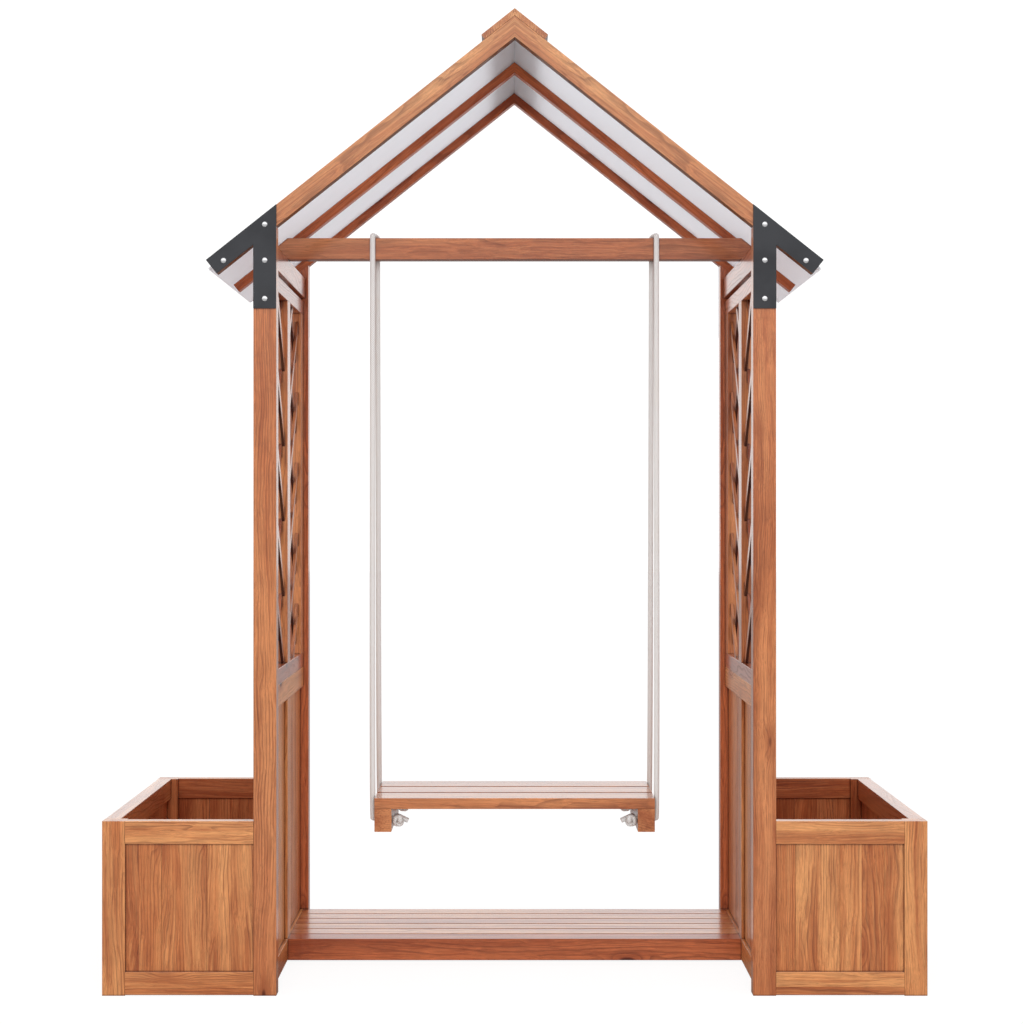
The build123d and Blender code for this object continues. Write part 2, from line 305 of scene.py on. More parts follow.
class EffectGroup:
    """A node group for an effect that several materials share, built once."""

    name: str = ""
    takes: tuple[tuple[str, str, object], ...] = ()
    gives: tuple[tuple[str, str], ...] = ()

    def tree(self) -> bpy.types.NodeTree:
        """Find the group's tree, or build it the first time.

        Returns:
            The group's node tree.
        """
        found = bpy.data.node_groups.get(self.name)
        if found:
            return found
        made = bpy.data.node_groups.new(self.name, "ShaderNodeTree")
        for name, kind, default in self.takes:
            socket = made.interface.new_socket(name, in_out="INPUT", socket_type=kind)
            if default is not None:
                socket.default_value = default
        for name, kind in self.gives:
            made.interface.new_socket(name, in_out="OUTPUT", socket_type=kind)
        source = made.nodes.new("NodeGroupInput")
        result = made.nodes.new("NodeGroupOutput")
        self.fill(NodeGraph(made), source.outputs, result.inputs)
        return made

    def fill(
        self,
        graph: NodeGraph,
        given: bpy.types.NodeOutputs,
        result: bpy.types.NodeInputs,
    ) -> None:
        """Put the effect's nodes between the group's inputs and outputs."""
        raise NotImplementedError

    def place(self, graph: NodeGraph, **values: Value) -> bpy.types.NodeOutputs:
        """Put the group in a material.

        Args:
            graph: The material's graph.
            **values: What each input gets, with underscores for spaces in its name.

        Returns:
            The placed group's outputs.
        """
        made = graph.node("Group", node_tree=self.tree())
        for name, value in values.items():
            graph.feed(made.inputs[name.replace("_", " ")], value)
        return made.outputs


FLOAT = "NodeSocketFloat"
VECTOR = "NodeSocketVector"
COLOUR = "NodeSocketColor"


class BoardPick(EffectGroup):
    """Gives each board of a set its own random values, from where it lies."""

    name = "board_pick"
    takes = (
        ("Place", VECTOR, None),
        ("Start", VECTOR, (0.0, 0.0, 0.0)),
        ("Pitch", VECTOR, (WIDE, WIDE, WIDE)),
        ("Seed", FLOAT, 0.0),
    )
    gives = (("Board", COLOUR),)

    def fill(
        self,
        graph: NodeGraph,
        given: bpy.types.NodeOutputs,
        result: bpy.types.NodeInputs,
    ) -> None:
        """Count the board along each axis and turn the count into random values.

        Args:
            graph: The graph of the group's tree.
            given: The point, the first board's start, the boards' pitch and a seed.
            result: The board's random values.
        """
        steps = graph.vector("SUBTRACT", given["Place"], given["Start"])
        steps = graph.vector("DIVIDE", steps, given["Pitch"])
        steps = graph.vector("FLOOR", steps, (0.0, 0.0, 0.0))
        seed = graph.join(given["Seed"], given["Seed"], given["Seed"])
        white = graph.node("TexWhiteNoise", noise_dimensions="3D")
        graph.feed(white.inputs["Vector"], graph.vector("ADD", steps, seed))
        graph.feed(result["Board"], white.outputs["Color"])


@dataclass(frozen=True)
class Streaks:
    """One layer of noise that is drawn out along the grain.

    Attributes:
        along: How many streaks there are in a metre along the grain.
        across: How many there are in a metre across it.
        detail: How many finer layers the noise has.
    """

    along: float
    across: float
    detail: float = 1.0

    @property
    def stretch(self) -> Triple:
        """The layer's features in a metre on each axis, with the grain along X."""
        return (self.along, self.across, self.across)

    def lay(self, graph: NodeGraph, place: Value, kind: str = "Fac") -> bpy.types.NodeSocket:
        """Add the layer at a point, with Fac for a number or Color for three of them."""
        return graph.noise(place, self.stretch, self.detail).outputs[kind]


class TimberFigure(EffectGroup):
    """The figure of planed hardwood: growth rings, colour bands, fibres, pores and knots."""

    name = "timber_figure"
    takes = (
        ("Place", VECTOR, None),
        ("Board", VECTOR, None),
        ("Turn", FLOAT, 0.8),
        ("Ring Gap", FLOAT, 0.006),
        ("Knots", FLOAT, 1.0),
        ("Light", COLOUR, None),
        ("Middle", COLOUR, None),
        ("Dark", COLOUR, None),
        ("Line", COLOUR, None),
    )
    gives = (("Color", COLOUR), ("Height", FLOAT), ("Wear", FLOAT))

    # How far apart in the solid wood two boards are cut
    board_shift = (7.3, 1.9, 2.7)

    # Knots: their cells, which cells have one, how wide it is, and how far it turns the rings
    knot_cells = Streaks(5.0, 16.0)
    knot_chance = (0.4, 0.45)
    knot_width = (0.13, 0.07)
    halo_width = (0.4, 0.06)
    halo_push = 0.012

    # How the fibres wander slowly and quiver at a small scale, and how far
    wander = (Streaks(1.7, 9.0), 0.05)
    quiver = (Streaks(5.0, 17.0, 2.0), 0.018)

    # Rings: how the late wood rises and falls in each, and where it fades
    ring_rise = (0.45, 0.92)
    ring_fall = (1.0, 0.94)
    ring_depth = Streaks(2.5, 30.0)
    ring_fade = (0.36, 0.66, 0.1, 1.0)

    # Colour bands and streaks, each with the range that it comes in over and how strong it is
    band = Streaks(1.0, 22.0, 2.0)
    band_light = (0.42, 0.78)
    band_by_board = 0.22
    deep = Streaks(1.2, 13.0, 3.0)
    deep_dark = (0.5, 0.8, 0.0, 0.7)
    deep_by_board = 0.16
    streak = Streaks(1.8, 240.0, 4.0)
    streak_dark = (0.5, 0.68, 0.0, 0.5)
    streak_light = (0.48, 0.32, 0.0, 0.35)

    # Fibres, pores and curl, and how much light each takes or gives
    fibre = Streaks(12.0, 800.0, 2.0)
    fibre_light = (0.3, 0.7, 0.84, 1.14)
    pore = Streaks(40.0, 1300.0)
    pore_width = (0.58, 0.7)
    pore_light = (0.0, 1.0, 1.0, 0.75)
    curl = Streaks(22.0, 26.0, 2.0)
    curl_light = (0.3, 0.7, 0.95, 1.05)

    # How strongly the rings, the wood round a knot and the knot are stained
    ring_stain = 0.42
    halo_stain = 0.5
    knot_stain = 0.9

    # How far the late wood lies below the rest, and how much a fibre counts in the gloss
    ring_sink = 0.45
    fibre_gloss = 0.5

    def fill(
        self,
        graph: NodeGraph,
        given: bpy.types.NodeOutputs,
        result: bpy.types.NodeInputs,
    ) -> None:
        """Cut the board out of a solid of wood and colour what the cut shows.

        Args:
            graph: The graph of the group's tree.
            given: The point with the grain along X, the board's values and the colours.
            result: The colour, the height for a bump and a value for the gloss.
        """
        shift = graph.vector("MULTIPLY", given["Board"], self.board_shift)
        place = graph.vector("ADD", given["Place"], shift)
        knot, halo = self.knots(graph, place, given["Knots"])
        place = self.flow(graph, place)
        late = self.rings(graph, place, halo, given)
        shade = self.bands(graph, place, given)
        shade = graph.colour(graph.math("MULTIPLY", late, self.ring_stain), shade, given["Line"])
        fibre = self.fibre.lay(graph, place)
        pore = graph.spread(self.pore.lay(graph, place), *self.pore_width)
        lit = graph.spread(fibre, *self.fibre_light)
        curl = graph.spread(self.curl.lay(graph, place), *self.curl_light)
        for part in (curl, graph.spread(pore, *self.pore_light)):
            lit = graph.math("MULTIPLY", lit, part)
        shade = graph.colour(1.0, shade, graph.join(lit, lit, lit), "MULTIPLY")
        shade = graph.colour(graph.math("MULTIPLY", halo, self.halo_stain), shade, given["Dark"])
        shade = graph.colour(graph.math("MULTIPLY", knot, self.knot_stain), shade, given["Line"])
        graph.feed(result["Color"], shade)
        low = graph.math("ADD", graph.math("MULTIPLY", late, self.ring_sink), pore)
        graph.feed(result["Height"], graph.math("SUBTRACT", fibre, low))
        gloss = graph.math("MULTIPLY", fibre, self.fibre_gloss)
        graph.feed(result["Wear"], graph.math("ADD", late, gloss))

    def knots(
        self, graph: NodeGraph, place: Value, strength: Value
    ) -> tuple[bpy.types.NodeSocket, bpy.types.NodeSocket]:
        """Strew few and small knots, with the darker wood that flows round them.

        Args:
            graph: The graph of the group's tree.
            place: The point, with the grain along X.
            strength: How strong the knots are.

        Returns:
            The mask of the knots and the mask of the wood round them.
        """
        cells = graph.node("TexVoronoi", feature="F1")
        stretched = graph.vector("MULTIPLY", place, self.knot_cells.stretch)
        graph.feed(cells.inputs["Vector"], stretched)
        cells.inputs["Scale"].default_value = 1.0
        chance = graph.spread(graph.split(cells.outputs["Color"])[0], *self.knot_chance)
        chosen = graph.math("MULTIPLY", chance, strength)
        near = cells.outputs["Distance"]
        knot = graph.math("MULTIPLY", graph.spread(near, *self.knot_width), chosen)
        halo = graph.math("MULTIPLY", graph.spread(near, *self.halo_width), chosen)
        return knot, halo

    def flow(self, graph: NodeGraph, place: Value) -> bpy.types.NodeSocket:
        """Let the fibres wander slowly and quiver.

        Args:
            graph: The graph of the group's tree.
            place: The point, with the grain along X.

        Returns:
            The point in wood with straight fibres.
        """
        moved = place
        for layer, far in (self.wander, self.quiver):
            step = graph.vector("MULTIPLY", layer.lay(graph, place, "Color"), (0.0, far, far))
            moved = graph.vector("ADD", moved, step)
        return moved

    def rings(
        self, graph: NodeGraph, place: Value, halo: Value, given: bpy.types.NodeOutputs
    ) -> bpy.types.NodeSocket:
        """Lay the growth rings as planes, turned as the log lay, that fade in and out.

        Args:
            graph: The graph of the group's tree.
            place: The point, with the grain along X.
            halo: The mask of the wood round the knots.
            given: The sockets that the group takes, with the turn and the gap of the rings.

        Returns:
            The mask of the late wood.
        """
        parts = graph.split(place)
        reach = graph.math(
            "ADD",
            graph.math("MULTIPLY", parts[1], graph.math("COSINE", given["Turn"])),
            graph.math("MULTIPLY", parts[2], graph.math("SINE", given["Turn"])),
        )
        reach = graph.math("ADD", reach, graph.math("MULTIPLY", halo, self.halo_push))
        ring = graph.math("FRACT", graph.math("DIVIDE", reach, given["Ring Gap"]))
        rise = graph.spread(ring, *self.ring_rise)
        late = graph.math("MULTIPLY", rise, graph.spread(ring, *self.ring_fall))
        fade = graph.spread(self.ring_depth.lay(graph, place), *self.ring_fade)
        return graph.math("MULTIPLY", late, fade)

    def bands(
        self, graph: NodeGraph, place: Value, given: bpy.types.NodeOutputs
    ) -> bpy.types.NodeSocket:
        """Colour the wood in broad bands and then in finer streaks.

        Args:
            graph: The graph of the group's tree.
            place: The point, with the grain along X.
            given: The sockets that the group takes, with the board's values and the colours.

        Returns:
            The colour.
        """
        board = graph.split(given["Board"])
        by_board = graph.math("MULTIPLY", board[1], self.band_by_board)
        band = graph.math("ADD", self.band.lay(graph, place), by_board)
        lit = graph.spread(band, *self.band_light)
        shade = graph.colour(lit, given["Middle"], given["Light"])
        by_board = graph.math("MULTIPLY", board[2], self.deep_by_board)
        deep = graph.math("ADD", self.deep.lay(graph, place), by_board)
        shade = graph.colour(graph.spread(deep, *self.deep_dark), shade, given["Dark"])
        streak = self.streak.lay(graph, place)
        shade = graph.colour(graph.spread(streak, *self.streak_dark), shade, given["Dark"])
        return graph.colour(graph.spread(streak, *self.streak_light), shade, given["Light"])


class EdgeWearAndHighlight(EffectGroup):
    """Finds the outside edges of a piece, for wear where a finish rubs thin and for painted
    highlight where they catch the light.
    """

    name = "edge_wear_and_highlight"
    takes = (("Radius", FLOAT, 0.002), ("Break Up", FLOAT, 60.0))
    gives = (("Mask", FLOAT), ("Normal", VECTOR))
    samples = 4
    turned = (0.995, 0.9)
    patches = (0.35, 0.65, 0.25, 1.0)

    def fill(
        self,
        graph: NodeGraph,
        given: bpy.types.NodeOutputs,
        result: bpy.types.NodeInputs,
    ) -> None:
        """Compare the rounded normal with the flat one.

        Args:
            graph: The graph of the group's tree.
            given: The edge's radius and how finely the wear and highlight are broken up.
            result: The mask and the rounded normal.
        """
        flat = graph.node("NewGeometry")
        round_off = graph.node("Bevel", samples=self.samples)
        graph.feed(round_off.inputs["Radius"], given["Radius"])
        same = graph.vector("DOT_PRODUCT", round_off.outputs[0], flat.outputs["True Normal"])
        patch = graph.node("TexNoise")
        graph.feed(patch.inputs["Vector"], graph.coordinate())
        graph.feed(patch.inputs["Scale"], given["Break Up"])
        wear_and_highlight = graph.spread(patch.outputs["Fac"], *self.patches)
        edge = graph.spread(same, *self.turned)
        graph.feed(result["Mask"], graph.math("MULTIPLY", edge, wear_and_highlight))
        graph.feed(result["Normal"], round_off.outputs[0])


class JointShade(EffectGroup):
    """Finds joints and inside corners, for dirt that stays there and for painted shade where little
    light comes.
    """

    name = "joint_shade"
    takes = (("Reach", FLOAT, 0.006), ("Depth", FLOAT, 1.0))
    gives = (("Mask", FLOAT),)
    samples = 4
    closing = (0.96, 0.5)

    def fill(
        self,
        graph: NodeGraph,
        given: bpy.types.NodeOutputs,
        result: bpy.types.NodeInputs,
    ) -> None:
        """Measure how open each point is.

        Args:
            graph: The graph of the group's tree.
            given: How far the shade reaches and how deep it is.
            result: The mask, 1 in a closed joint.
        """
        open_part = graph.node("AmbientOcclusion", samples=self.samples)
        graph.feed(open_part.inputs["Distance"], given["Reach"])
        closed = graph.spread(open_part.outputs["AO"], *self.closing)
        graph.feed(result["Mask"], graph.math("MULTIPLY", closed, given["Depth"]))


class FineSpeckle(EffectGroup):
    """A fine broken texture for sprayed, cast and drawn surfaces, and a little dust on top."""

    name = "fine_speckle"
    takes = (("Scale", FLOAT, 800.0), ("Dust", FLOAT, 0.1))
    gives = (("Height", FLOAT), ("Dust", FLOAT), ("Cloud", FLOAT))
    clouds = Streaks(9.0, 9.0, 3.0)
    upward = (0.2, 1.0)

    def fill(
        self,
        graph: NodeGraph,
        given: bpy.types.NodeOutputs,
        result: bpy.types.NodeInputs,
    ) -> None:
        """Lay a fine grain over slow clouds, with dust where the surface looks up.

        Args:
            graph: The graph of the group's tree.
            given: The grain's scale and how much dust lies on the piece.
            result: The height for a bump, the dust and the clouds.
        """
        grain = graph.node("TexNoise")
        graph.feed(grain.inputs["Vector"], graph.coordinate())
        graph.feed(grain.inputs["Scale"], given["Scale"])
        cloud = self.clouds.lay(graph, graph.coordinate())
        top = graph.spread(graph.split(graph.coordinate("Normal"))[2], *self.upward)
        dust = graph.math("MULTIPLY", graph.math("MULTIPLY", top, cloud), given["Dust"])
        graph.feed(result["Height"], grain.outputs["Fac"])
        graph.feed(result["Dust"], dust)
        graph.feed(result["Cloud"], cloud)


class BraidedSheath(EffectGroup):
    """The crossing strands of a braided rope, laid out along its own length."""

    name = "braided_sheath"
    takes = (("Strands", FLOAT, 8.0), ("Pitch", FLOAT, 0.016))
    gives = (("Height", FLOAT), ("Shade", FLOAT))
    crown = (0.5, 0.12)
    yarns = (60.0, 900.0, 1.0)
    yarn_detail = 2.0
    yarn_relief = 0.3
    strand_shade = 0.6
    yarn_shade = 0.4

    def fill(
        self,
        graph: NodeGraph,
        given: bpy.types.NodeOutputs,
        result: bpy.types.NodeInputs,
    ) -> None:
        """Cross two families of strands, with fine yarns along each.

        Args:
            graph: The graph of the group's tree.
            given: How many strands go each way round and the length of a full turn.
            result: The height for a bump, and a light and dark that is painted shade in the grooves
                between the strands, with the yarn's own tone.
        """
        laid = graph.node("UVMap", uv_map="along").outputs[0]
        parts = graph.split(laid)
        round_part = graph.math("MULTIPLY", parts[0], given["Strands"])
        along = graph.math("DIVIDE", parts[1], given["Pitch"])
        along = graph.math("MULTIPLY", along, given["Strands"])
        crowns = []
        for way in ("ADD", "SUBTRACT"):
            strand = graph.math("FRACT", graph.math(way, round_part, along))
            middle = graph.math("ABSOLUTE", graph.math("SUBTRACT", strand, 0.5))
            crowns.append(graph.spread(middle, *self.crown))
        height = graph.math("MULTIPLY", crowns[0], crowns[1])
        yarn = graph.noise(laid, self.yarns, self.yarn_detail).outputs["Fac"]
        relief = graph.math("MULTIPLY", yarn, self.yarn_relief)
        graph.feed(result["Height"], graph.math("ADD", height, relief))
        # The strands' crowns count towards the light, and the grooves towards painted shade.
        strand_part = graph.math("MULTIPLY", height, self.strand_shade)
        yarn_part = graph.math("MULTIPLY", yarn, self.yarn_shade)
        graph.feed(result["Shade"], graph.math("ADD", strand_part, yarn_part))


BOARD_PICK = BoardPick()
TIMBER_FIGURE = TimberFigure()
EDGE_WEAR_AND_HIGHLIGHT = EdgeWearAndHighlight()
JOINT_SHADE = JointShade()
FINE_SPECKLE = FineSpeckle()
BRAIDED_SHEATH = BraidedSheath()


def empty_graph(owner: Union[bpy.types.Material, bpy.types.World]) -> NodeGraph:
    """Give a material or a world an empty graph.

    Args:
        owner: What gets the graph.

    Returns:
        The graph.
    """
    owner.use_nodes = True
    owner.node_tree.nodes.clear()
    return NodeGraph(owner.node_tree)


def new_material(name: str) -> tuple[bpy.types.Material, NodeGraph, bpy.types.Node]:
    """Start a material with an empty graph that ends in one main shader.

    Args:
        name: The material's name.

    Returns:
        The material, its graph and its main shader.
    """
    made = bpy.data.materials.new(name)
    graph = empty_graph(made)
    shader = graph.node("BsdfPrincipled")
    output = graph.node("OutputMaterial")
    graph.feed(output.inputs["Surface"], shader.outputs[0])
    return made, graph, shader


def place_object(name: str, data: bpy.types.ID) -> bpy.types.Object:
    """Put a new object in the scene.

    Args:
        name: The object's name.
        data: Its mesh, lamp or camera.

    Returns:
        The object.
    """
    made = bpy.data.objects.new(name, data)
    bpy.context.scene.collection.objects.link(made)
    return made


def add_bump(
    graph: NodeGraph,
    shader: bpy.types.Node,
    height: Value,
    distance: float,
    normal: Union[bpy.types.NodeSocket, None] = None,
) -> None:
    """Put a fine relief on a material.

    Args:
        graph: The material's graph.
        shader: The material's main shader.
        height: The relief, from 0 to 1.
        distance: How high the relief stands, in metres.
        normal: The normal that it stands on, if not the surface's own.
    """
    bump = graph.node("Bump")
    bump.inputs["Distance"].default_value = distance
    graph.feed(bump.inputs["Height"], height)
    if normal is not None:
        graph.feed(bump.inputs["Normal"], normal)
    graph.feed(shader.inputs["Normal"], bump.outputs[0])


@dataclass(frozen=True)
class TimberFinish:
    """Oiled hardwood, for one set of timbers whose grain runs one way.

    Attributes:
        name: The material's name.
        grain: Which way the fibres run.
        tone: The wood's shade.
        start: Where the first board of the set begins on each axis.
        pitch: The step from board to board on each axis.
        mirrored: True where the boards are counted outward from the middle, front and rear.
        twin: True where the right half shows the left half's figure in a mirror.
        seed: A number of its own, so that no two sets share their figure.
        turn: How the growth rings lie in the timber's section, and how much that varies.
        ring_gap: The gap between growth rings.
        knots: How strong the knots are, from 0 to 1.
        crevice: How far the dark of joints and corners reaches.
        coat: How much clear oil film lies on the wood.
        shine: How strongly the bare wood shines under the film.
        core: The middle of the box whose inner faces are darkened as painted shade, if there is one.
        under: How much painted shade darkens the faces that look down, and how much barer and duller
            they are, from 0 to 1.
        downward: How steeply a face looks down where that begins and where it is full.
        edge: The edges' radius, how finely their wear and painted highlight are broken up, and how
            strong they are.
        joint_depth: How strongly joints and corners are darkened with dirt and painted shade, from 0
            to 1.
        dirt_and_shade_tints: What darkens the joints, as dirt and painted shade, and the inner faces
            and the faces that look down, as painted shade.
        gloss: The range of wear and the range of roughness that it gives.
        lens: The index of refraction of the wood and of the oil film.
        film_blur: The roughness of the oil film.
        relief: How high the fibres stand.
    """

    name: str
    grain: Grain
    tone: Tone = Tone.NATURAL
    start: Triple = (0.0, 0.0, 0.0)
    pitch: Triple = (WIDE, WIDE, WIDE)
    mirrored: bool = False
    twin: bool = False
    seed: float = 0.0
    turn: tuple[float, float] = (0.8, 1.4)
    ring_gap: float = 0.006
    knots: float = 1.0
    crevice: float = 0.005
    coat: float = 0.7
    shine: float = 0.5
    core: Union[Triple, None] = None
    under: float = 0.0
    downward: tuple[float, float] = (-0.2, -0.5)
    edge: Triple = (0.0012, 45.0, 0.2)
    joint_depth: float = 0.85
    dirt_and_shade_tints: tuple[Colour, Colour, Colour] = (tint(70, 26, 12), tint(228, 205, 210), tint(44, 14, 6))
    gloss: Span = (0.0, 1.2, 0.3, 0.45)
    lens: tuple[float, float] = (1.45, 1.5)
    film_blur: float = 0.14
    relief: float = 0.0001

    def material(self) -> bpy.types.Material:
        """Build the material.

        Returns:
            The material with its figure, joints, edges and relief.
        """
        made, graph, shader = new_material(self.name)
        place = graph.coordinate()
        if self.mirrored:
            place = self.outward(graph, place)
        if self.twin:
            place = self.twinned(graph, place)
        figure = self.figure(graph, place)
        radius, break_up, wear_and_highlight = self.edge
        edge = EDGE_WEAR_AND_HIGHLIGHT.place(graph, Radius=radius, Break_Up=break_up)
        joint = JOINT_SHADE.place(graph, Reach=self.crevice, Depth=self.joint_depth)
        joint_dirt_and_shade, painted_inner_shade, painted_underside_shade = self.dirt_and_shade_tints
        light = self.tone.value[0]
        # Edges are lightened towards the light wood, partly as wear and partly as painted highlight.
        shade = graph.colour(graph.math("MULTIPLY", edge["Mask"], wear_and_highlight), figure["Color"], light)
        # The inner faces of a box are darkened as painted shade.
        if self.core:
            shade = graph.colour(self.inward(graph), shade, painted_inner_shade, "MULTIPLY")
        coat: Value = self.coat
        rough = graph.spread(figure["Wear"], *self.gloss)
        # Faces that look down are darkened as painted shade, and get less film and more roughness.
        if self.under:
            up = graph.split(graph.coordinate("Normal"))[2]
            low = graph.spread(up, *self.downward, 0.0, self.under)
            shade = graph.colour(low, shade, painted_underside_shade)
            coat = graph.math("MULTIPLY", graph.math("SUBTRACT", 1.0, low), coat)
            rough = graph.math("ADD", rough, low)
        # Joints and corners are darkened, partly as dirt and partly as painted shade.
        shade = graph.colour(joint["Mask"], shade, joint_dirt_and_shade)
        graph.feed(shader.inputs["Base Color"], shade)
        graph.feed(shader.inputs["Roughness"], rough)
        graph.feed(shader.inputs["Coat Weight"], coat)
        shader.inputs["IOR"].default_value, shader.inputs["Coat IOR"].default_value = self.lens
        shader.inputs["Specular IOR Level"].default_value = self.shine
        shader.inputs["Coat Roughness"].default_value = self.film_blur
        add_bump(graph, shader, figure["Height"], self.relief)
        return made

    def figure(self, graph: NodeGraph, place: Value) -> bpy.types.NodeOutputs:
        """Cut each board of the set from the wood in its own way.

        Args:
            graph: The material's graph.
            place: The point, folded where the set is mirrored.

        Returns:
            The outputs of the wood's figure.
        """
        board = BOARD_PICK.place(
            graph, Place=place, Start=self.start, Pitch=self.pitch, Seed=self.seed
        )["Board"]
        lay = graph.node("Mapping", vector_type="POINT")
        graph.feed(lay.inputs["Vector"], place)
        lay.inputs["Rotation"].default_value = self.grain.value
        middle_turn, turn_range = self.turn
        chance = graph.math("SUBTRACT", graph.split(board)[0], 0.5)
        turn = graph.math("MULTIPLY", chance, turn_range)
        light, middle, dark, line = self.tone.value
        return TIMBER_FIGURE.place(
            graph,
            Place=lay.outputs[0],
            Board=board,
            Turn=graph.math("ADD", turn, middle_turn),
            Ring_Gap=self.ring_gap,
            Knots=self.knots,
            Light=light,
            Middle=middle,
            Dark=dark,
            Line=line,
        )

    def inward(self, graph: NodeGraph) -> bpy.types.NodeSocket:
        """Find the faces that look at the middle of the box.

        Args:
            graph: The material's graph.

        Returns:
            The mask, 1 on an inner face.
        """
        across = graph.vector("SUBTRACT", self.core, graph.coordinate())
        flat = graph.vector("MULTIPLY", across, (1.0, 1.0, 0.0))
        facing = graph.vector("DOT_PRODUCT", graph.coordinate("Normal"), flat)
        return graph.spread(facing, 0.02, 0.04)

    def outward(self, graph: NodeGraph, place: bpy.types.NodeSocket) -> bpy.types.NodeSocket:
        """Fold the rear half on the front half, so that both count outward from the middle.

        Args:
            graph: The material's graph.
            place: The point.

        Returns:
            The folded point, with the rear half moved along X to keep its own figure.
        """
        parts = graph.split(place)
        far = graph.math("MULTIPLY", graph.math("SIGN", parts[1]), 3 * WIDE)
        along = graph.math("ADD", parts[0], far)
        return graph.join(along, graph.math("ABSOLUTE", parts[1]), parts[2])

    def twinned(self, graph: NodeGraph, place: bpy.types.NodeSocket) -> bpy.types.NodeSocket:
        """Fold the right half on the left half, so that both show one figure.

        Args:
            graph: The material's graph.
            place: The point.

        Returns:
            The folded point.
        """
        parts = graph.split(place)
        size = graph.math("ABSOLUTE", parts[0])
        return graph.join(graph.math("MULTIPLY", size, Side.LEFT.value), parts[1], parts[2])


@dataclass(frozen=True)
class SheetFinish:
    """Milky twin-wall plastic, with its fine walls running down the slope.

    Attributes:
        name: The material's name.
        shade: The plastic's colour.
        wall_shade: Its colour along the inner walls, which shows faintly.
        wall_gap: The gap between the inner walls.
        wall_edge: Where a wall begins and where it is full, in gaps from the middle between two.
        wall_share: How strongly the walls show.
        dust: The colour of the dust, how fine the speckle is and how much dust there is.
        gloss: The range of the clouds and the range of roughness that it gives.
        lens: The index of refraction.
        relief: How high the walls stand out.
        passing: How much of the light goes through.
    """

    name: str = "roof_sheet_milky"
    shade: Colour = tint(251, 252, 255)
    wall_shade: Colour = tint(180, 180, 182)
    wall_gap: float = 0.0062
    wall_edge: tuple[float, float] = (0.42, 0.5)
    wall_share: float = 0.1
    dust: tuple[Colour, float, float] = (tint(190, 184, 174), 300.0, 0.15)
    gloss: Span = (0.3, 0.7, 0.36, 0.44)
    lens: float = 1.4
    relief: float = 0.00005
    passing: float = 0.52

    def material(self) -> bpy.types.Material:
        """Build the material.

        Returns:
            The material, which lets soft light through.
        """
        made, graph, shader = new_material(self.name)
        from_front = graph.split(graph.coordinate())[1]
        wall = graph.math("FRACT", graph.math("DIVIDE", from_front, self.wall_gap))
        wall = graph.math("ABSOLUTE", graph.math("SUBTRACT", wall, 0.5))
        wall = graph.spread(wall, *self.wall_edge)
        dust_shade, fineness, dust = self.dust
        fine = FINE_SPECKLE.place(graph, Scale=fineness, Dust=dust)
        faint = graph.math("MULTIPLY", wall, self.wall_share)
        shade = graph.colour(faint, self.shade, self.wall_shade)
        shade = graph.colour(fine["Dust"], shade, dust_shade)
        graph.feed(shader.inputs["Base Color"], shade)
        graph.feed(shader.inputs["Roughness"], graph.spread(fine["Cloud"], *self.gloss))
        shader.inputs["IOR"].default_value = self.lens
        add_bump(graph, shader, wall, self.relief)
        through = graph.node("BsdfTranslucent")
        graph.feed(through.inputs["Color"], shade)
        both = graph.shaders(self.passing, shader.outputs[0], through.outputs[0])
        output = made.node_tree.get_output_node("ALL")
        graph.feed(output.inputs["Surface"], both)
        return made


@dataclass(frozen=True)
class PlateFinish:
    """Dark grey powder coat on steel.

    Attributes:
        name: The material's name.
        shades: The coat's darker and lighter clouds.
        cloud_edge: Where the clouds begin and end.
        edge: The edges' radius, how finely their wear is broken up, and how strong it is.
        edge_shade: The colour of a rubbed edge.
        dust: The colour of the dust, how fine the orange peel is and how much dust there is.
        gloss: The range of the orange peel and the range of roughness that it gives.
        lens: The index of refraction.
        relief: How high the orange peel stands.
    """

    name: str = "plate_powder_coat"
    shades: tuple[Colour, Colour] = (tint(45, 46, 50), tint(55, 56, 60))
    cloud_edge: tuple[float, float] = (0.35, 0.65)
    edge: Triple = (0.0012, 120.0, 0.3)
    edge_shade: Colour = tint(110, 112, 116)
    dust: tuple[Colour, float, float] = (tint(150, 142, 130), 1400.0, 0.12)
    gloss: Span = (0.3, 0.7, 0.42, 0.56)
    lens: float = 1.45
    relief: float = 0.00008

    def material(self) -> bpy.types.Material:
        """Build the material.

        Returns:
            The material with its fine orange peel and rubbed edges.
        """
        made, graph, shader = new_material(self.name)
        dust_shade, fineness, dust = self.dust
        fine = FINE_SPECKLE.place(graph, Scale=fineness, Dust=dust)
        radius, break_up, wear_and_highlight = self.edge
        edge = EDGE_WEAR_AND_HIGHLIGHT.place(graph, Radius=radius, Break_Up=break_up)
        shade = graph.colour(graph.spread(fine["Cloud"], *self.cloud_edge), *self.shades)
        shade = graph.colour(graph.math("MULTIPLY", edge["Mask"], wear_and_highlight), shade, self.edge_shade)
        shade = graph.colour(fine["Dust"], shade, dust_shade)
        graph.feed(shader.inputs["Base Color"], shade)
        graph.feed(shader.inputs["Roughness"], graph.spread(fine["Height"], *self.gloss))
        shader.inputs["IOR"].default_value = self.lens
        add_bump(graph, shader, fine["Height"], self.relief, edge["Normal"])
        return made


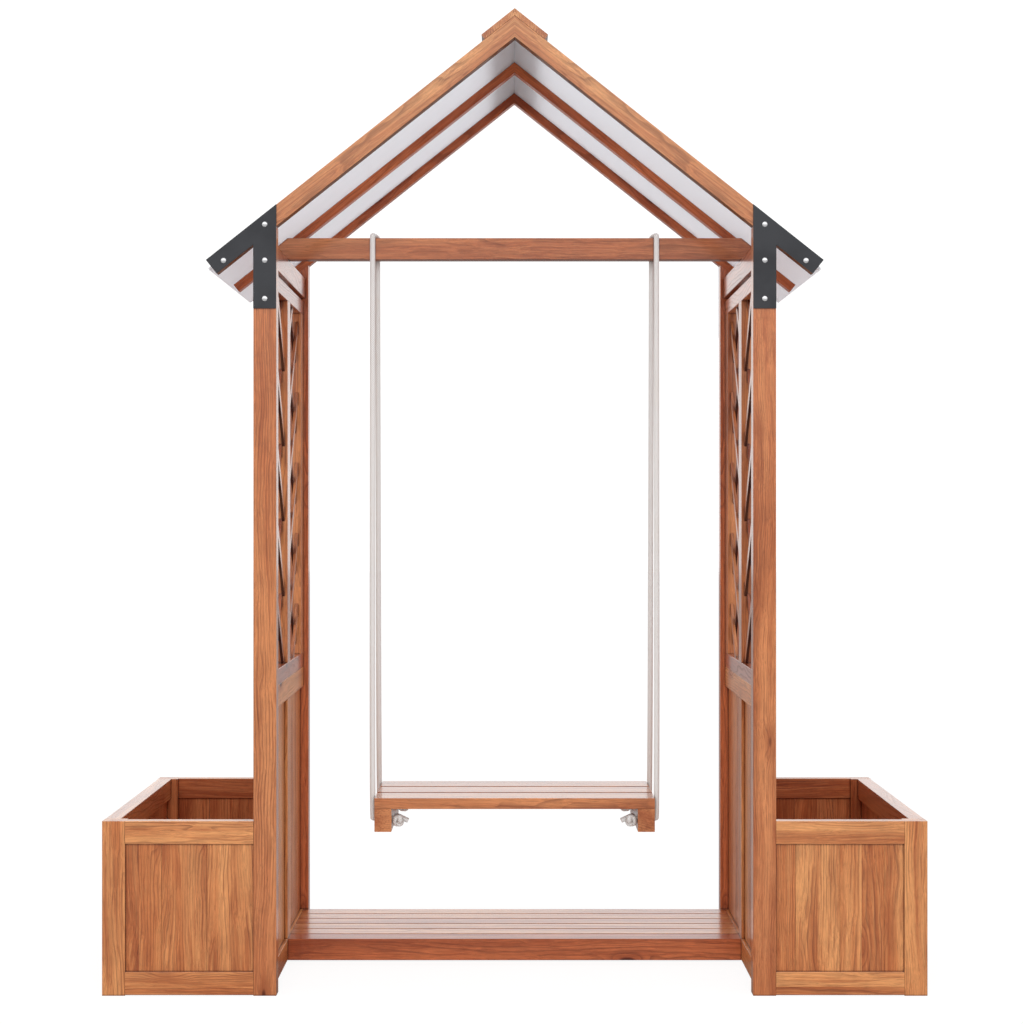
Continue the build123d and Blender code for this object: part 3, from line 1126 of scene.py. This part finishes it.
@dataclass(frozen=True)
class BoltFinish:
    """Bright plated steel.

    Attributes:
        name: The material's name.
        shade: The plating's colour.
        joint: How far the dark of joints reaches and how deep it is.
        joint_shade: The colour of the painted shade in joints.
        speckle: How fine the turned marks are and how much dust there is.
        gloss: The range of the clouds and the range of roughness that it gives.
        metal: How metallic the plating is.
        relief: How high the turned marks stand.
    """

    name: str = "bolt_plated_steel"
    shade: Colour = tint(240, 240, 242)
    joint: tuple[float, float] = (0.002, 0.6)
    joint_shade: Colour = tint(120, 120, 124)
    speckle: tuple[float, float] = (2500.0, 0.1)
    gloss: Span = (0.3, 0.7, 0.18, 0.3)
    metal: float = 0.55
    relief: float = 0.00002

    def material(self) -> bpy.types.Material:
        """Build the material.

        Returns:
            The material with fine turned marks.
        """
        made, graph, shader = new_material(self.name)
        fineness, dust = self.speckle
        fine = FINE_SPECKLE.place(graph, Scale=fineness, Dust=dust)
        reach, depth = self.joint
        joint = JOINT_SHADE.place(graph, Reach=reach, Depth=depth)
        # The bolts are darkened as painted shade where they meet the plate.
        shade = graph.colour(joint["Mask"], self.shade, self.joint_shade)
        graph.feed(shader.inputs["Base Color"], shade)
        graph.feed(shader.inputs["Roughness"], graph.spread(fine["Cloud"], *self.gloss))
        shader.inputs["Metallic"].default_value = self.metal
        add_bump(graph, shader, fine["Height"], self.relief)
        return made


@dataclass(frozen=True)
class RopeFinish:
    """Off-white braided rope.

    Attributes:
        name: The material's name.
        dark: The colour between the strands, darker as painted shade in the grooves.
        light: The colour of the strands' crowns.
        shade_edge: Where the light begins and where it is full.
        strands: How many strands go each way round, and the length of a full turn.
        joint: How far the dark of crossings reaches and how deep it is.
        joint_shade: The colour of the painted shade at crossings.
        soil: The colour of soiled yarn, and where it begins, is full and how strong it is.
        soil_scale: How fine the soiled places are.
        gloss: The range of the braid's height and the range of roughness that it gives.
        sheen: How much the loose fibres shine.
        relief: How high the strands stand.
    """

    name: str = "rope_braid"
    dark: Colour = tint(216, 212, 209)
    light: Colour = tint(248, 246, 244)
    shade_edge: tuple[float, float] = (0.2, 0.75)
    strands: tuple[float, float] = (8.0, 0.05)
    joint: tuple[float, float] = (0.008, 0.5)
    joint_shade: Colour = tint(140, 124, 110)
    soil: tuple[Colour, Span] = (tint(220, 212, 202), (0.55, 0.75, 0.0, 0.25))
    soil_scale: float = 60.0
    gloss: Span = (0.0, 1.0, 0.85, 0.7)
    sheen: float = 0.2
    relief: float = 0.00025

    def material(self) -> bpy.types.Material:
        """Build the material.

        Returns:
            The material with its braid and yarns.
        """
        made, graph, shader = new_material(self.name)
        strands, turn_length = self.strands
        braid = BRAIDED_SHEATH.place(graph, Strands=strands, Pitch=turn_length)
        reach, depth = self.joint
        joint = JOINT_SHADE.place(graph, Reach=reach, Depth=depth)
        cloud = FINE_SPECKLE.place(graph, Scale=self.soil_scale, Dust=0.0)["Cloud"]
        # The grooves between the strands are darker as painted shade.
        crown = graph.spread(braid["Shade"], *self.shade_edge)
        shade = graph.colour(crown, self.dark, self.light)
        soil_shade, soiled = self.soil
        shade = graph.colour(graph.spread(cloud, *soiled), shade, soil_shade)
        # Crossings and contacts are darkened as painted shade.
        shade = graph.colour(joint["Mask"], shade, self.joint_shade)
        graph.feed(shader.inputs["Base Color"], shade)
        graph.feed(shader.inputs["Roughness"], graph.spread(braid["Height"], *self.gloss))
        shader.inputs["Sheen Weight"].default_value = self.sheen
        add_bump(graph, shader, braid["Height"], self.relief)
        return made


class Finish(Protocol):
    """Any finish that can build its own material."""

    def material(self) -> bpy.types.Material:
        """Build the material."""


def dress(finish: Finish, names: Iterable[str]) -> None:
    """Give a finish to the model's own solids.

    Args:
        finish: A finish that can build its material.
        names: The nodes that get it.
    """
    material = finish.material()
    for name in names:
        for held in NODES[name].material_slots:
            held.material = material
        LOG.info("%s is dressed in %s", name, material.name)


def both_sides(stem: str) -> list[str]:
    """The left and the right node of one name."""
    return [f"{stem}_{side.word}" for side in Side]


@dataclass
class Posts:
    """The four corner posts, with their steel plates and bolts.

    Attributes:
        plates: The plates' finish.
        bolts: The bolts' finish.
        whole: Where every post is one board.
    """

    plates: PlateFinish = field(default_factory=PlateFinish)
    bolts: BoltFinish = field(default_factory=BoltFinish)
    whole: Triple = (-BEYOND, 0.0, 0.0)

    def dress(self) -> None:
        """Run the grain up the posts, and finish the plates and bolts."""
        front = TimberFinish("post_front_oiled", Grain.UPRIGHT, Tone.WARM, self.whole, seed=4.0)
        dress(front, both_sides("post_front"))
        # The rear posts take a ruddier tone than the front ones, as painted shade.
        rear = TimberFinish("post_rear_oiled", Grain.UPRIGHT, Tone.RUDDY, twin=True)
        dress(rear, both_sides("post_rear"))
        dress(self.plates, both_sides("bracket_front") + both_sides("bracket_rear"))
        dress(self.bolts, ["bracket_bolts"])


@dataclass
class Roof:
    """Rafters, sheets and ridge caps on two slopes.

    Attributes:
        sheet: The sheets' finish.
        tones: Each row of timbers with its shade, from the front to the ridge; the ruddy rows under
            the sheets are darker as painted shade.
        whole: Where every timber is one board.
        turn: How the growth rings lie in the timbers' sections.
        first_seed: The seed of the first row.
        seam: How far the dark of the joints reaches.
        full_film: The oil film on the timbers that stand in the weather, and the painted shade on
            their faces that look down.
        thin_film: The oil film on the ruddy ones under the sheets.
    """

    sheet: SheetFinish = field(default_factory=SheetFinish)
    tones: tuple[tuple[str, Tone], ...] = (
        ("rafter_front", Tone.GOLDEN),
        ("rafter_middle", Tone.RUDDY),
        ("rafter_rear", Tone.RUDDY),
        ("ridge_cap", Tone.GOLDEN),
    )
    whole: Triple = (-BEYOND, -BEYOND, 0.0)
    turn: tuple[float, float] = (0.2, 0.4)
    first_seed: float = 7.0
    seam: float = 0.0015
    full_film: dict[str, float] = field(
        default_factory=lambda: {"coat": 0.9, "shine": 0.4, "under": 0.62}
    )
    thin_film: dict[str, float] = field(default_factory=lambda: {"coat": 0.12, "shine": 0.3})

    def dress(self) -> None:
        """Run the grain down the slopes and along the ridge, and finish the sheets."""
        for number, (row, tone) in enumerate(self.tones):
            timber = TimberFinish(
                row + "_oiled",
                Grain.DEEP if row == "ridge_cap" else Grain.FALLS_LEFT,
                tone,
                self.whole,
                twin=True,
                seed=self.first_seed + number,
                turn=self.turn,
                crevice=self.seam,
                **(self.thin_film if tone is Tone.RUDDY else self.full_film),
            )
            dress(timber, both_sides(row))
        dress(self.sheet, both_sides("roof_sheet"))


@dataclass
class SideWalls:
    """The trellis and boarded panels between the posts, under their top rails.

    Attributes:
        split: The height that parts a panel's lower rail from its upper one.
        rail_rows: The step from there to the next part.
        board_start: Where the first board behind the middle begins.
        board_pitch: The step from board to board.
        stile_start: What parts the front stile from the middle one.
        stile_rows: The step from there to the next part.
        slat_spacing: The step in height from slat to slat.
        slat_crevice: How far the painted shade round the slats reaches.
        slat_under: How much painted shade darkens the slats' lower faces.
        slat_knots: How strong the slats' knots are.
        slat_seed: The seed of the inner slats.
        thin_film: The oil film on the boarded panels.
    """

    split: float = 0.757
    rail_rows: float = 0.5
    board_start: float = 0.0285
    board_pitch: float = 0.0972
    stile_start: float = -0.15
    stile_rows: float = 0.3
    slat_spacing: float = 0.2
    slat_crevice: float = 0.05
    slat_under: float = 0.9
    slat_knots: float = 0.3
    slat_seed: float = 21.0
    thin_film: dict[str, float] = field(default_factory=lambda: {"coat": 0.15, "shine": 0.3})

    def dress(self) -> None:
        """Lay the grain along rails, stiles, boards and slats."""
        # The trellis rails' ruddy tone is painted shade.
        for name, tone, film in (
            ("trellis_rails", Tone.RUDDY, {}),
            ("wall_rails", Tone.NATURAL, self.thin_film),
        ):
            rails = TimberFinish(
                name + "_oiled",
                Grain.DEEP,
                tone,
                start=(0.0, BEYOND, self.split),
                pitch=(SIDE_STEP, WIDE, self.rail_rows),
                **film,
            )
            dress(rails, both_sides(name))
        top = TimberFinish(
            "top_rail_oiled",
            Grain.DEEP,
            Tone.RUDDY,
            start=(0.0, BEYOND, 0.0),
            pitch=(SIDE_STEP, WIDE, WIDE),
        )
        dress(top, both_sides("top_rail"))
        for name, tone, film in (
            ("trellis_stiles", Tone.WARM, {}),
            ("wall_stile", Tone.NATURAL, self.thin_film),
        ):
            uprights = TimberFinish(
                name + "_oiled",
                Grain.UPRIGHT,
                tone,
                start=(0.0, self.stile_start, 0.0),
                pitch=(SIDE_STEP, self.stile_rows, WIDE),
                seed=4.0,
                **film,
            )
            dress(uprights, both_sides(name))
        boards = TimberFinish(
            "wall_board_oiled",
            Grain.UPRIGHT,
            start=(0.0, self.board_start, 0.0),
            pitch=(SIDE_STEP, self.board_pitch, WIDE),
            mirrored=True,
            seed=6.0,
            **self.thin_film,
        )
        dress(boards, both_sides("wall_boards"))
        self.dress_slats()

    def dress_slats(self) -> None:
        """Lay the grain along the trellis's two crossing layers of slats."""
        # The outer layer's deep tone is painted shade, for the layer that lies behind the inner one.
        layers = (
            ("inner", Grain.RISES_OUTWARD, Tone.WARM),
            ("outer", Grain.FALLS_OUTWARD, Tone.DEEP),
        )
        for number, (layer, grain, tone) in enumerate(layers):
            slats = TimberFinish(
                f"trellis_slat_{layer}_oiled",
                grain,
                tone,
                pitch=(SIDE_STEP, WIDE, self.slat_spacing),
                mirrored=True,
                seed=self.slat_seed + number,
                knots=self.slat_knots,
                crevice=self.slat_crevice,
                under=self.slat_under,
            )
            dress(slats, both_sides(f"trellis_slats_{layer}"))


@dataclass
class Deck:
    """The low deck behind the swing.

    Attributes:
        first_edge: The front edge of the first board behind the apron.
        board_pitch: The step from board to board.
        gap_shade: How far the dark of the gaps reaches.
        whole: Where the apron and each bearer are one board.
        apron_turn: How the growth rings lie in the apron.
    """

    first_edge: float = -0.0285
    board_pitch: float = 0.0582
    gap_shade: float = 0.02
    whole: Triple = (-BEYOND, 0.0, 0.0)
    apron_turn: tuple[float, float] = (0.2, 0.3)

    def dress(self) -> None:
        """Run the grain across the arbor, board by board."""
        boards = TimberFinish(
            "deck_board_oiled",
            Grain.ACROSS,
            start=(-BEYOND, self.first_edge, 0.0),
            pitch=(WIDE, self.board_pitch, WIDE),
            seed=31.0,
            crevice=self.gap_shade,
            coat=1.0,
            knots=0.1,
        )
        dress(boards, ["deck_boards"])
        apron = TimberFinish(
            "deck_apron_oiled",
            Grain.ACROSS,
            Tone.RUDDY,
            self.whole,
            seed=33.0,
            turn=self.apron_turn,
        )
        dress(apron, ["deck_apron"])
        bearers = TimberFinish("deck_bearer_oiled", Grain.DEEP, Tone.DEEP, self.whole, seed=34.0)
        dress(bearers, ["deck_bearers"])


@dataclass
class Planters:
    """The planter box against each side.

    Attributes:
        staves: Where each side's end boards begin and how wide their staves are.
        side_start: The front edge of the side boards.
        side_pitch: The step from side board to side board.
        rail_split: A glue line in the lower end rail.
        rail_pitch: The step from there to the glue lines above.
        side_split: The height that parts a side's lower rail from its upper one.
        side_rows: The step from there to the next part.
        middle: How far each planter's middle is from the arbor's.
        coat: How much clear oil film lies on the wood.
        side_coat: How much lies on the side rails.
    """

    staves: dict[Side, tuple[float, float]] = field(
        default_factory=lambda: {Side.LEFT: (-0.6485, 0.057), Side.RIGHT: (0.6973, 0.0548)}
    )
    side_start: float = -0.3195
    side_pitch: float = 0.1065
    rail_split: float = 0.023
    rail_pitch: float = 0.0387
    side_split: float = 0.2
    side_rows: float = 0.5
    middle: float = 0.836
    coat: float = 0.7
    side_coat: float = 1.0

    def dress(self) -> None:
        """Finish both boxes, and the floors that do not show from the front."""
        for side in self.staves:
            self.dress_box(side)
        floor = TimberFinish(
            "planter_floor_oiled",
            Grain.ACROSS,
            Tone.DEEP,
            start=(-SIDE_STEP, self.side_start, 0.0),
            pitch=(SIDE_STEP, self.side_pitch, WIDE),
            seed=55.0,
        )
        dress(floor, both_sides("planter_floor"))
        cleats = TimberFinish("planter_cleat_oiled", Grain.DEEP, Tone.DEEP, seed=57.0)
        dress(cleats, both_sides("planter_cleats"))

    def dress_box(self, side: Side) -> None:
        """Lay the grain along legs and rails, and stave by stave in the boards.

        Args:
            side: The box's side of the arbor.
        """
        start, stave = self.staves[side]
        ends = (-BEYOND, -SIDE_STEP)
        rows = (
            ("board", Grain.UPRIGHT, (start, self.side_start, 0.0), (stave, self.side_pitch, WIDE)),
            ("leg", Grain.UPRIGHT, (*ends, 0.0), (WIDE, SIDE_STEP, WIDE)),
            ("end_rail", Grain.ACROSS, (*ends, self.rail_split), (WIDE, SIDE_STEP, self.rail_pitch)),
            (
                "side_rail",
                Grain.DEEP,
                (-SIDE_STEP, -BEYOND, self.side_split),
                (SIDE_STEP, WIDE, self.side_rows),
            ),
        )
        seeds = {"board": 44.0, "leg": 45.0, "end_rail": 49.0, "side_rail": 53.0}
        for row, grain, begin, step in rows:
            timber = TimberFinish(
                f"planter_{row}_{side.word}_oiled",
                grain,
                start=begin,
                pitch=step,
                seed=seeds[row] + side.value,
                coat=self.side_coat if row == "side_rail" else self.coat,
                # The box's inner faces are darkened as painted shade round this middle.
                core=(self.middle * side.value, 0.0, 0.0),
            )
            dress(timber, [f"planter_{row}s_{side.word}"])


@dataclass
class Swing:
    """The crossbeam, and the seat's slats and battens.

    Attributes:
        gap_shade: How far the dark of the gaps between the slats reaches.
        whole: Where the beam and each slat are one board.
        turn: How the growth rings lie in the beam and the slats.
        batten_turn: How they lie in the battens.
        beam_under: How much painted shade darkens the beam's lower face.
        slat_coat: How much clear oil film lies on the slats.
        slat_seed: The seed of the front slat.
    """

    gap_shade: float = 0.03
    whole: Triple = (-BEYOND, -BEYOND, 0.0)
    turn: tuple[float, float] = (0.2, 0.3)
    batten_turn: tuple[float, float] = (math.pi / 2, 0.3)
    beam_under: float = 0.4
    slat_coat: float = 0.9
    slat_seed: float = 64.0

    def dress(self) -> None:
        """Run the grain along the beam and slats, and from front to rear in the battens."""
        beam = TimberFinish(
            "swing_beam_oiled",
            Grain.ACROSS,
            Tone.WARM,
            self.whole,
            seed=61.0,
            turn=self.turn,
            under=self.beam_under,
        )
        dress(beam, ["swing_beam"])
        for number, place in enumerate(("front", "middle", "rear")):
            name = f"seat_slat_{place}"
            slat = TimberFinish(
                name + "_oiled",
                Grain.ACROSS,
                Tone.WARM,
                self.whole,
                seed=self.slat_seed + number,
                turn=self.turn,
                crevice=self.gap_shade,
                coat=self.slat_coat,
            )
            dress(slat, [name])
        batten = TimberFinish(
            "seat_batten_oiled",
            Grain.DEEP,
            Tone.WARM,
            start=(-SIDE_STEP, -BEYOND, 0.0),
            pitch=(SIDE_STEP, WIDE, WIDE),
            seed=68.0,
            turn=self.batten_turn,
        )
        dress(batten, both_sides("seat_batten"))


def spline_points(name: str, corners: Sequence[Vector], fineness: int) -> list[Vector]:
    """Read the points of a smooth line that is led by a few corners.

    Args:
        name: The name of the line's curve while it exists.
        corners: The control points, in metres.
        fineness: How many points the line has for each corner.

    Returns:
        The line's points in order.
    """
    curve = bpy.data.curves.new(name, "CURVE")
    curve.dimensions = "3D"
    curve.resolution_u = fineness
    spline = curve.splines.new("NURBS")
    spline.points.add(len(corners) - 1)
    for point, corner in zip(spline.points, corners):
        point.co = (*corner, 1.0)
    spline.order_u = 3
    spline.use_endpoint_u = True
    holder = bpy.data.objects.new(name, curve)
    line = bpy.data.meshes.new_from_object(holder)
    points = [vertex.co.copy() for vertex in line.vertices]
    bpy.data.objects.remove(holder)
    bpy.data.curves.remove(curve)
    bpy.data.meshes.remove(line)
    return points


# How far a cut rope's rounded end stands out and how wide it is there, as shares of the radius
END_DEPTH_SHARE = 0.18
END_RADIUS_SHARE = 0.8


def tube(name: str, points: Sequence[Vector], radius: float, sides: int) -> bpy.types.Object:
    """Build a round rope along a line, with closed, slightly rounded ends.

    Args:
        name: The piece's name.
        points: The line, in metres.
        radius: The rope's radius.
        sides: How many sides its section has.

    Returns:
        The rope, with a UV map that runs round it and along it.
    """
    ahead = (points[1] - points[0]).normalized()
    side = ahead.orthogonal().normalized()
    rings: list[tuple[Vector, Vector, Vector, float, float]] = []
    run = 0.0
    for number, point in enumerate(points):
        before = points[max(number - 1, 0)]
        after = points[min(number + 1, len(points) - 1)]
        step = (after - before).normalized()
        side = (ahead.rotation_difference(step) @ side).normalized()
        ahead = step
        run += (point - before).length
        rings.append((point, side, ahead.cross(side), radius, run))
    soft, thin = radius * END_DEPTH_SHARE, radius * END_RADIUS_SHARE
    first, last = rings[0], rings[-1]
    back, on = (points[1] - points[0]).normalized(), (points[-1] - points[-2]).normalized()
    rings.insert(0, (first[0] - back * soft, first[1], first[2], thin, first[4] - soft))
    rings.append((last[0] + on * soft, last[1], last[2], thin, last[4] + soft))
    vertices: list[Vector] = []
    for centre, one, two, reach, _ in rings:
        for number in range(sides):
            turn = math.tau * number / sides
            vertices.append(centre + (one * math.cos(turn) + two * math.sin(turn)) * reach)
    faces: list[tuple[int, ...]] = []
    laid: list[tuple[float, float]] = []
    for ring in range(len(rings) - 1):
        low, high = rings[ring][4], rings[ring + 1][4]
        for number in range(sides):
            near, far = ring * sides, (ring + 1) * sides
            other = (number + 1) % sides
            faces.append((near + number, near + other, far + other, far + number))
            start, stop = number / sides, (number + 1) / sides
            laid += [(start, low), (stop, low), (stop, high), (start, high)]
    faces.append(tuple(range(sides))[::-1])
    faces.append(tuple(range((len(rings) - 1) * sides, len(rings) * sides)))
    for end in (rings[0][4], rings[-1][4]):
        laid += [(number / sides, end) for number in range(sides)]
    mesh = bpy.data.meshes.new(name)
    mesh.from_pydata([tuple(vertex) for vertex in vertices], [], faces)
    layer = mesh.uv_layers.new(name="along")
    for loop, place in zip(layer.data, laid):
        loop.uv = place
    mesh.polygons.foreach_set("use_smooth", [True] * len(faces))
    mesh.update()
    return place_object(name, mesh)


@dataclass
class Ropes:
    """A rope at each end of the seat, over the beam, with a stopper knot on each end.

    Attributes:
        radius: The rope's radius.
        length: One rope's length from knot to knot. Not used.
        route: The right-hand rope's corners, from the front knot to the rear one.
        bend_top: Where the rope begins to follow the swing, on the beam's lower face. Not used.
        bend_low: Where it follows the swing fully. Not used.
        fineness: How many points the rope has for each corner of its route.
        sides: How many sides its section has.
        finish: The rope's finish.
    """

    radius: float = 0.007
    length: float = 3.214
    route: tuple[Triple, ...] = (
        (0.3182, -0.147, 0.4025),
        (0.36552, -0.147, 0.4025),
        (0.3705, -0.147, 0.40748),
        (0.37614, -0.0645, 1.784),
        (0.3765, -0.0593, 1.8711),
        (0.3765, -0.0593, 1.92995),
        (0.3765, -0.05415, 1.9351),
        (0.3673, -0.01186, 1.9351),
        (0.3673, -0.0067, 1.92995),
        (0.3673, -0.0067, 1.8711),
        (0.36749, -0.0015, 1.784),
        (0.3705, 0.081, 0.40748),
        (0.36552, 0.081, 0.4025),
        (0.3182, 0.081, 0.4025),
    )
    bend_top: Triple = (0.0, -0.033, 1.8708)
    bend_low: Triple = (0.0, -0.033, 1.72)
    fineness: int = 48
    sides: int = 20
    finish: RopeFinish = field(default_factory=RopeFinish)

    def build(self) -> None:
        """Make both ropes and their knots."""
        material = self.finish.material()
        for side in Side:
            corners = [Vector((side.value * x, y, z)) for x, y, z in self.route]
            line = spline_points(f"rope_line_{side.word}", corners, self.fineness)
            rope = tube(f"braided_rope_{side.word}", line, self.radius, self.sides)
            rope.data.materials.append(material)
            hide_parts(f"rope_{side.word}")
            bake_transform(rope)
            for place, end in (("front", corners[0]), ("rear", corners[-1])):
                knot = StopperKnot(side, end).build(f"rope_knot_{place}_{side.word}")
                knot.data.materials.append(material)
                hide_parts("rope_knots")
                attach(knot, "swing")


@dataclass
class StopperKnot:
    """An overhand knot drawn up against a batten, with a short cut tail.

    Attributes:
        side: Which end of the seat it is on.
        hole: Where the rope comes out of the batten.
        rope_radius: The rope's radius where the knot squeezes it.
        bend_radius: The middle radius of the knot's three lobes.
        lobe: How far the lobes go in and out.
        thick: How far the lobes go from front to rear.
        flatten: How much shorter the knot is along the rope than across it.
        lift: How far the first lobe lies above the hole.
        tail: How far the tail reaches beyond the knot, and how far it droops.
        begin: The first two control points, inside the hole and just out of it.
        turns: How many control points one pass round the lobes has, with its start.
        fineness: How many points the knot's line has for each control point.
        sides: How many sides its section has.
    """

    side: Side
    hole: Vector
    rope_radius: float = 0.0064
    bend_radius: float = 0.0100
    lobe: float = 0.0041
    thick: float = 0.0064
    flatten: float = 0.74
    lift: float = 0.0105
    tail: tuple[float, float] = (0.0145, 0.006)
    begin: tuple[Triple, Triple] = ((-0.004, 0.0, 0.0), (0.003, 0.0, 0.0005))
    turns: int = 22
    fineness: int = 10
    sides: int = 16

    def corners(self) -> list[Vector]:
        """Work out the knot's control points, from the hole to the end of the tail.

        Returns:
            The control points, in metres.
        """
        top = self.bend_radius + self.lobe
        near = self.rope_radius * 0.9
        middle = (top - self.rope_radius * 0.2) * self.flatten + near
        made = list(self.begin)
        for number in range(1, self.turns):
            turn = math.tau * number / self.turns
            reach = self.bend_radius + self.lobe * math.cos(3 * turn)
            along = middle + reach * math.sin(2 * turn) * self.flatten
            high = reach * math.cos(2 * turn) - top + self.lift
            out = self.thick * math.sin(3 * turn) + near * math.cos(turn / 2)
            made.append((along, out, high))
        end, droop = self.tail
        made.append((middle + top * self.flatten * 0.8, -self.rope_radius, self.lift * 0.2))
        made.append((middle + top * self.flatten + end, -self.rope_radius, -droop))
        sign = -self.side.value
        return [self.hole + Vector((sign * along, -out, high)) for along, out, high in made]

    def build(self, name: str) -> bpy.types.Object:
        """Make the knot as one tube, under the piece's name."""
        line = spline_points(name + "_line", self.corners(), self.fineness)
        return tube(name, line, self.rope_radius, self.sides)


@dataclass
class Studio:
    """A pale floor, soft light from above and in front, and the camera.

    Attributes:
        camera_place: Where the camera stands.
        lens: Its focal length in millimetres on a 36 mm sensor.
        ambient: The strength of the soft light from all round.
        front_mirror: How bright the front of the room is in reflections, low down and higher up.
        mirror_rise: How high the front's reflection begins to brighten and where it is full.
        mirror_turn: Where the front of the room ends in reflections and the rest begins.
        rear_mirror: How bright the rest of the room is in reflections.
        key_place: Where the large lamp above the front hangs.
        key_target: What it looks at.
        key_size: The width of its square face.
        key_power: Its power.
        floor_size: The floor's width.
        floor_pale: The floor's two whites.
        floor_bounce: The floor's colour in the light that it throws back.
        floor_mirrored: How pale the floor is in reflections, before the arbor and behind it.
        floor_turn: Where, from front to rear, it changes from one to the other.
        floor_glow: How much of the floor's look is its own white, where the camera sees it.
        floor_strength: How bright that white is.
    """

    camera_place: Triple = (-0.0081, -4.643, 1.2)
    lens: float = 60.75
    ambient: float = 0.82
    front_mirror: tuple[float, float] = (0.4, 1.4)
    mirror_rise: tuple[float, float] = (0.0, 0.22)
    mirror_turn: tuple[float, float] = (-0.5, 0.15)
    rear_mirror: float = 1.12
    key_place: Triple = (0.0, -5.6, 4.4)
    key_target: Triple = (0.0, 0.0, 1.1)
    key_size: float = 3.2
    key_power: float = 120.0
    floor_size: float = 60.0
    floor_pale: tuple[Colour, Colour] = (tint(240, 240, 240), tint(248, 248, 248))
    floor_bounce: Colour = (0.8, 0.8, 0.8, 1.0)
    floor_mirrored: tuple[float, float] = (0.2, 0.5)
    floor_turn: tuple[float, float] = (-0.6, 0.4)
    floor_glow: float = 0.8
    floor_strength: float = 1.1

    def build(self) -> None:
        """Make the camera, the floor, the lamps and the world."""
        self.make_camera()
        self.make_floor()
        self.make_lamp("key_lamp", self.key_place, self.key_size, self.key_power)
        self.make_world()
        view = bpy.context.scene.view_settings
        view.view_transform = "Standard"

    def make_camera(self) -> None:
        """Stand the camera level in front of the arbor."""
        data = bpy.data.cameras.new("photo_camera")
        data.lens = self.lens
        data.sensor_width = 36.0
        camera = place_object("photo_camera", data)
        camera.location = self.camera_place
        camera.rotation_euler = Euler((math.pi / 2, 0.0, 0.0))
        bpy.context.scene.camera = camera

    def make_floor(self) -> None:
        """Lay a pale floor that shows white to the camera and keeps a soft shadow."""
        half = self.floor_size / 2
        mesh = bpy.data.meshes.new("studio_floor")
        corners = [(-half, -half, 0.0), (half, -half, 0.0), (half, half, 0.0), (-half, half, 0.0)]
        mesh.from_pydata(corners, [], [(0, 1, 2, 3)])
        floor = place_object("studio_floor", mesh)
        made = bpy.data.materials.new("studio_floor_pale")
        graph = empty_graph(made)
        matt = graph.node("BsdfDiffuse")
        rays = graph.node("LightPath")
        camera_ray, through_ray = rays.outputs["Is Camera Ray"], rays.outputs["Is Transmission Ray"]
        seen = graph.math("MAXIMUM", camera_ray, through_ray)
        grain = Streaks(3.0, 3.0, 3.0).lay(graph, graph.coordinate())
        pale = graph.colour(grain, *self.floor_pale)
        depth = graph.split(graph.coordinate())[1]
        dim = graph.spread(depth, *self.floor_turn, *self.floor_mirrored)
        mirrored = graph.join(dim, dim, dim)
        shade = graph.colour(rays.outputs["Is Glossy Ray"], self.floor_bounce, mirrored)
        graph.feed(matt.inputs["Color"], graph.colour(seen, shade, pale))
        glow = graph.node("Emission")
        glow.inputs["Strength"].default_value = self.floor_strength
        share = graph.math("MULTIPLY", seen, self.floor_glow)
        output = graph.node("OutputMaterial")
        mix = graph.shaders(share, matt.outputs[0], glow.outputs[0])
        graph.feed(output.inputs["Surface"], mix)
        mesh.materials.append(made)

    def make_lamp(self, name: str, place: Triple, size: float, power: float) -> None:
        """Hang a large soft lamp that looks at the middle of the arbor.

        Args:
            name: The lamp's name.
            place: Where it hangs.
            size: The width of its square face.
            power: Its power in watts.
        """
        data = bpy.data.lights.new(name, "AREA")
        data.shape = "SQUARE"
        data.size = size
        data.energy = power
        lamp = place_object(name, data)
        lamp.location = place
        look = Vector(self.key_target) - Vector(place)
        lamp.rotation_euler = look.to_track_quat("-Z", "Y").to_euler()
        lamp.visible_glossy = False

    def make_world(self) -> None:
        """Light from all round, and show pure white to the camera and in reflections."""
        world = bpy.data.worlds.new("studio_world")
        graph = empty_graph(world)
        rays = graph.node("LightPath")
        camera_ray, through_ray = rays.outputs["Is Camera Ray"], rays.outputs["Is Transmission Ray"]
        plain = graph.math("MAXIMUM", camera_ray, through_ray)
        seen = graph.math("MAXIMUM", plain, rays.outputs["Is Glossy Ray"])
        soft, white = graph.node("Background"), graph.node("Background")
        soft.inputs["Strength"].default_value = self.ambient
        soft.inputs["Color"].default_value = (1.0, 1.0, 1.0, 1.0)
        white.inputs["Color"].default_value = (1.0, 1.0, 1.0, 1.0)
        toward = graph.split(graph.coordinate("Generated"))
        ahead = graph.spread(toward[2], *self.mirror_rise, *self.front_mirror)
        front = graph.spread(toward[1], *self.mirror_turn, ahead, self.rear_mirror)
        graph.feed(white.inputs["Strength"], graph.math("MAXIMUM", front, plain))
        output = graph.node("OutputWorld")
        mix = graph.shaders(seen, soft.outputs[0], white.outputs[0])
        graph.feed(output.inputs["Surface"], mix)
        bpy.context.scene.world = world


def main() -> None:
    """Build the studio, the ropes and the finishes, in that order."""
    logging.basicConfig(level=logging.INFO, format="%(name)s: %(message)s")
    Studio().build()
    Ropes().build()
    for part in (Posts(), Roof(), SideWalls(), Deck(), Planters(), Swing()):
        part.dress()
        LOG.info("%s finished", type(part).__name__)


if __name__ == "__main__":
    main()
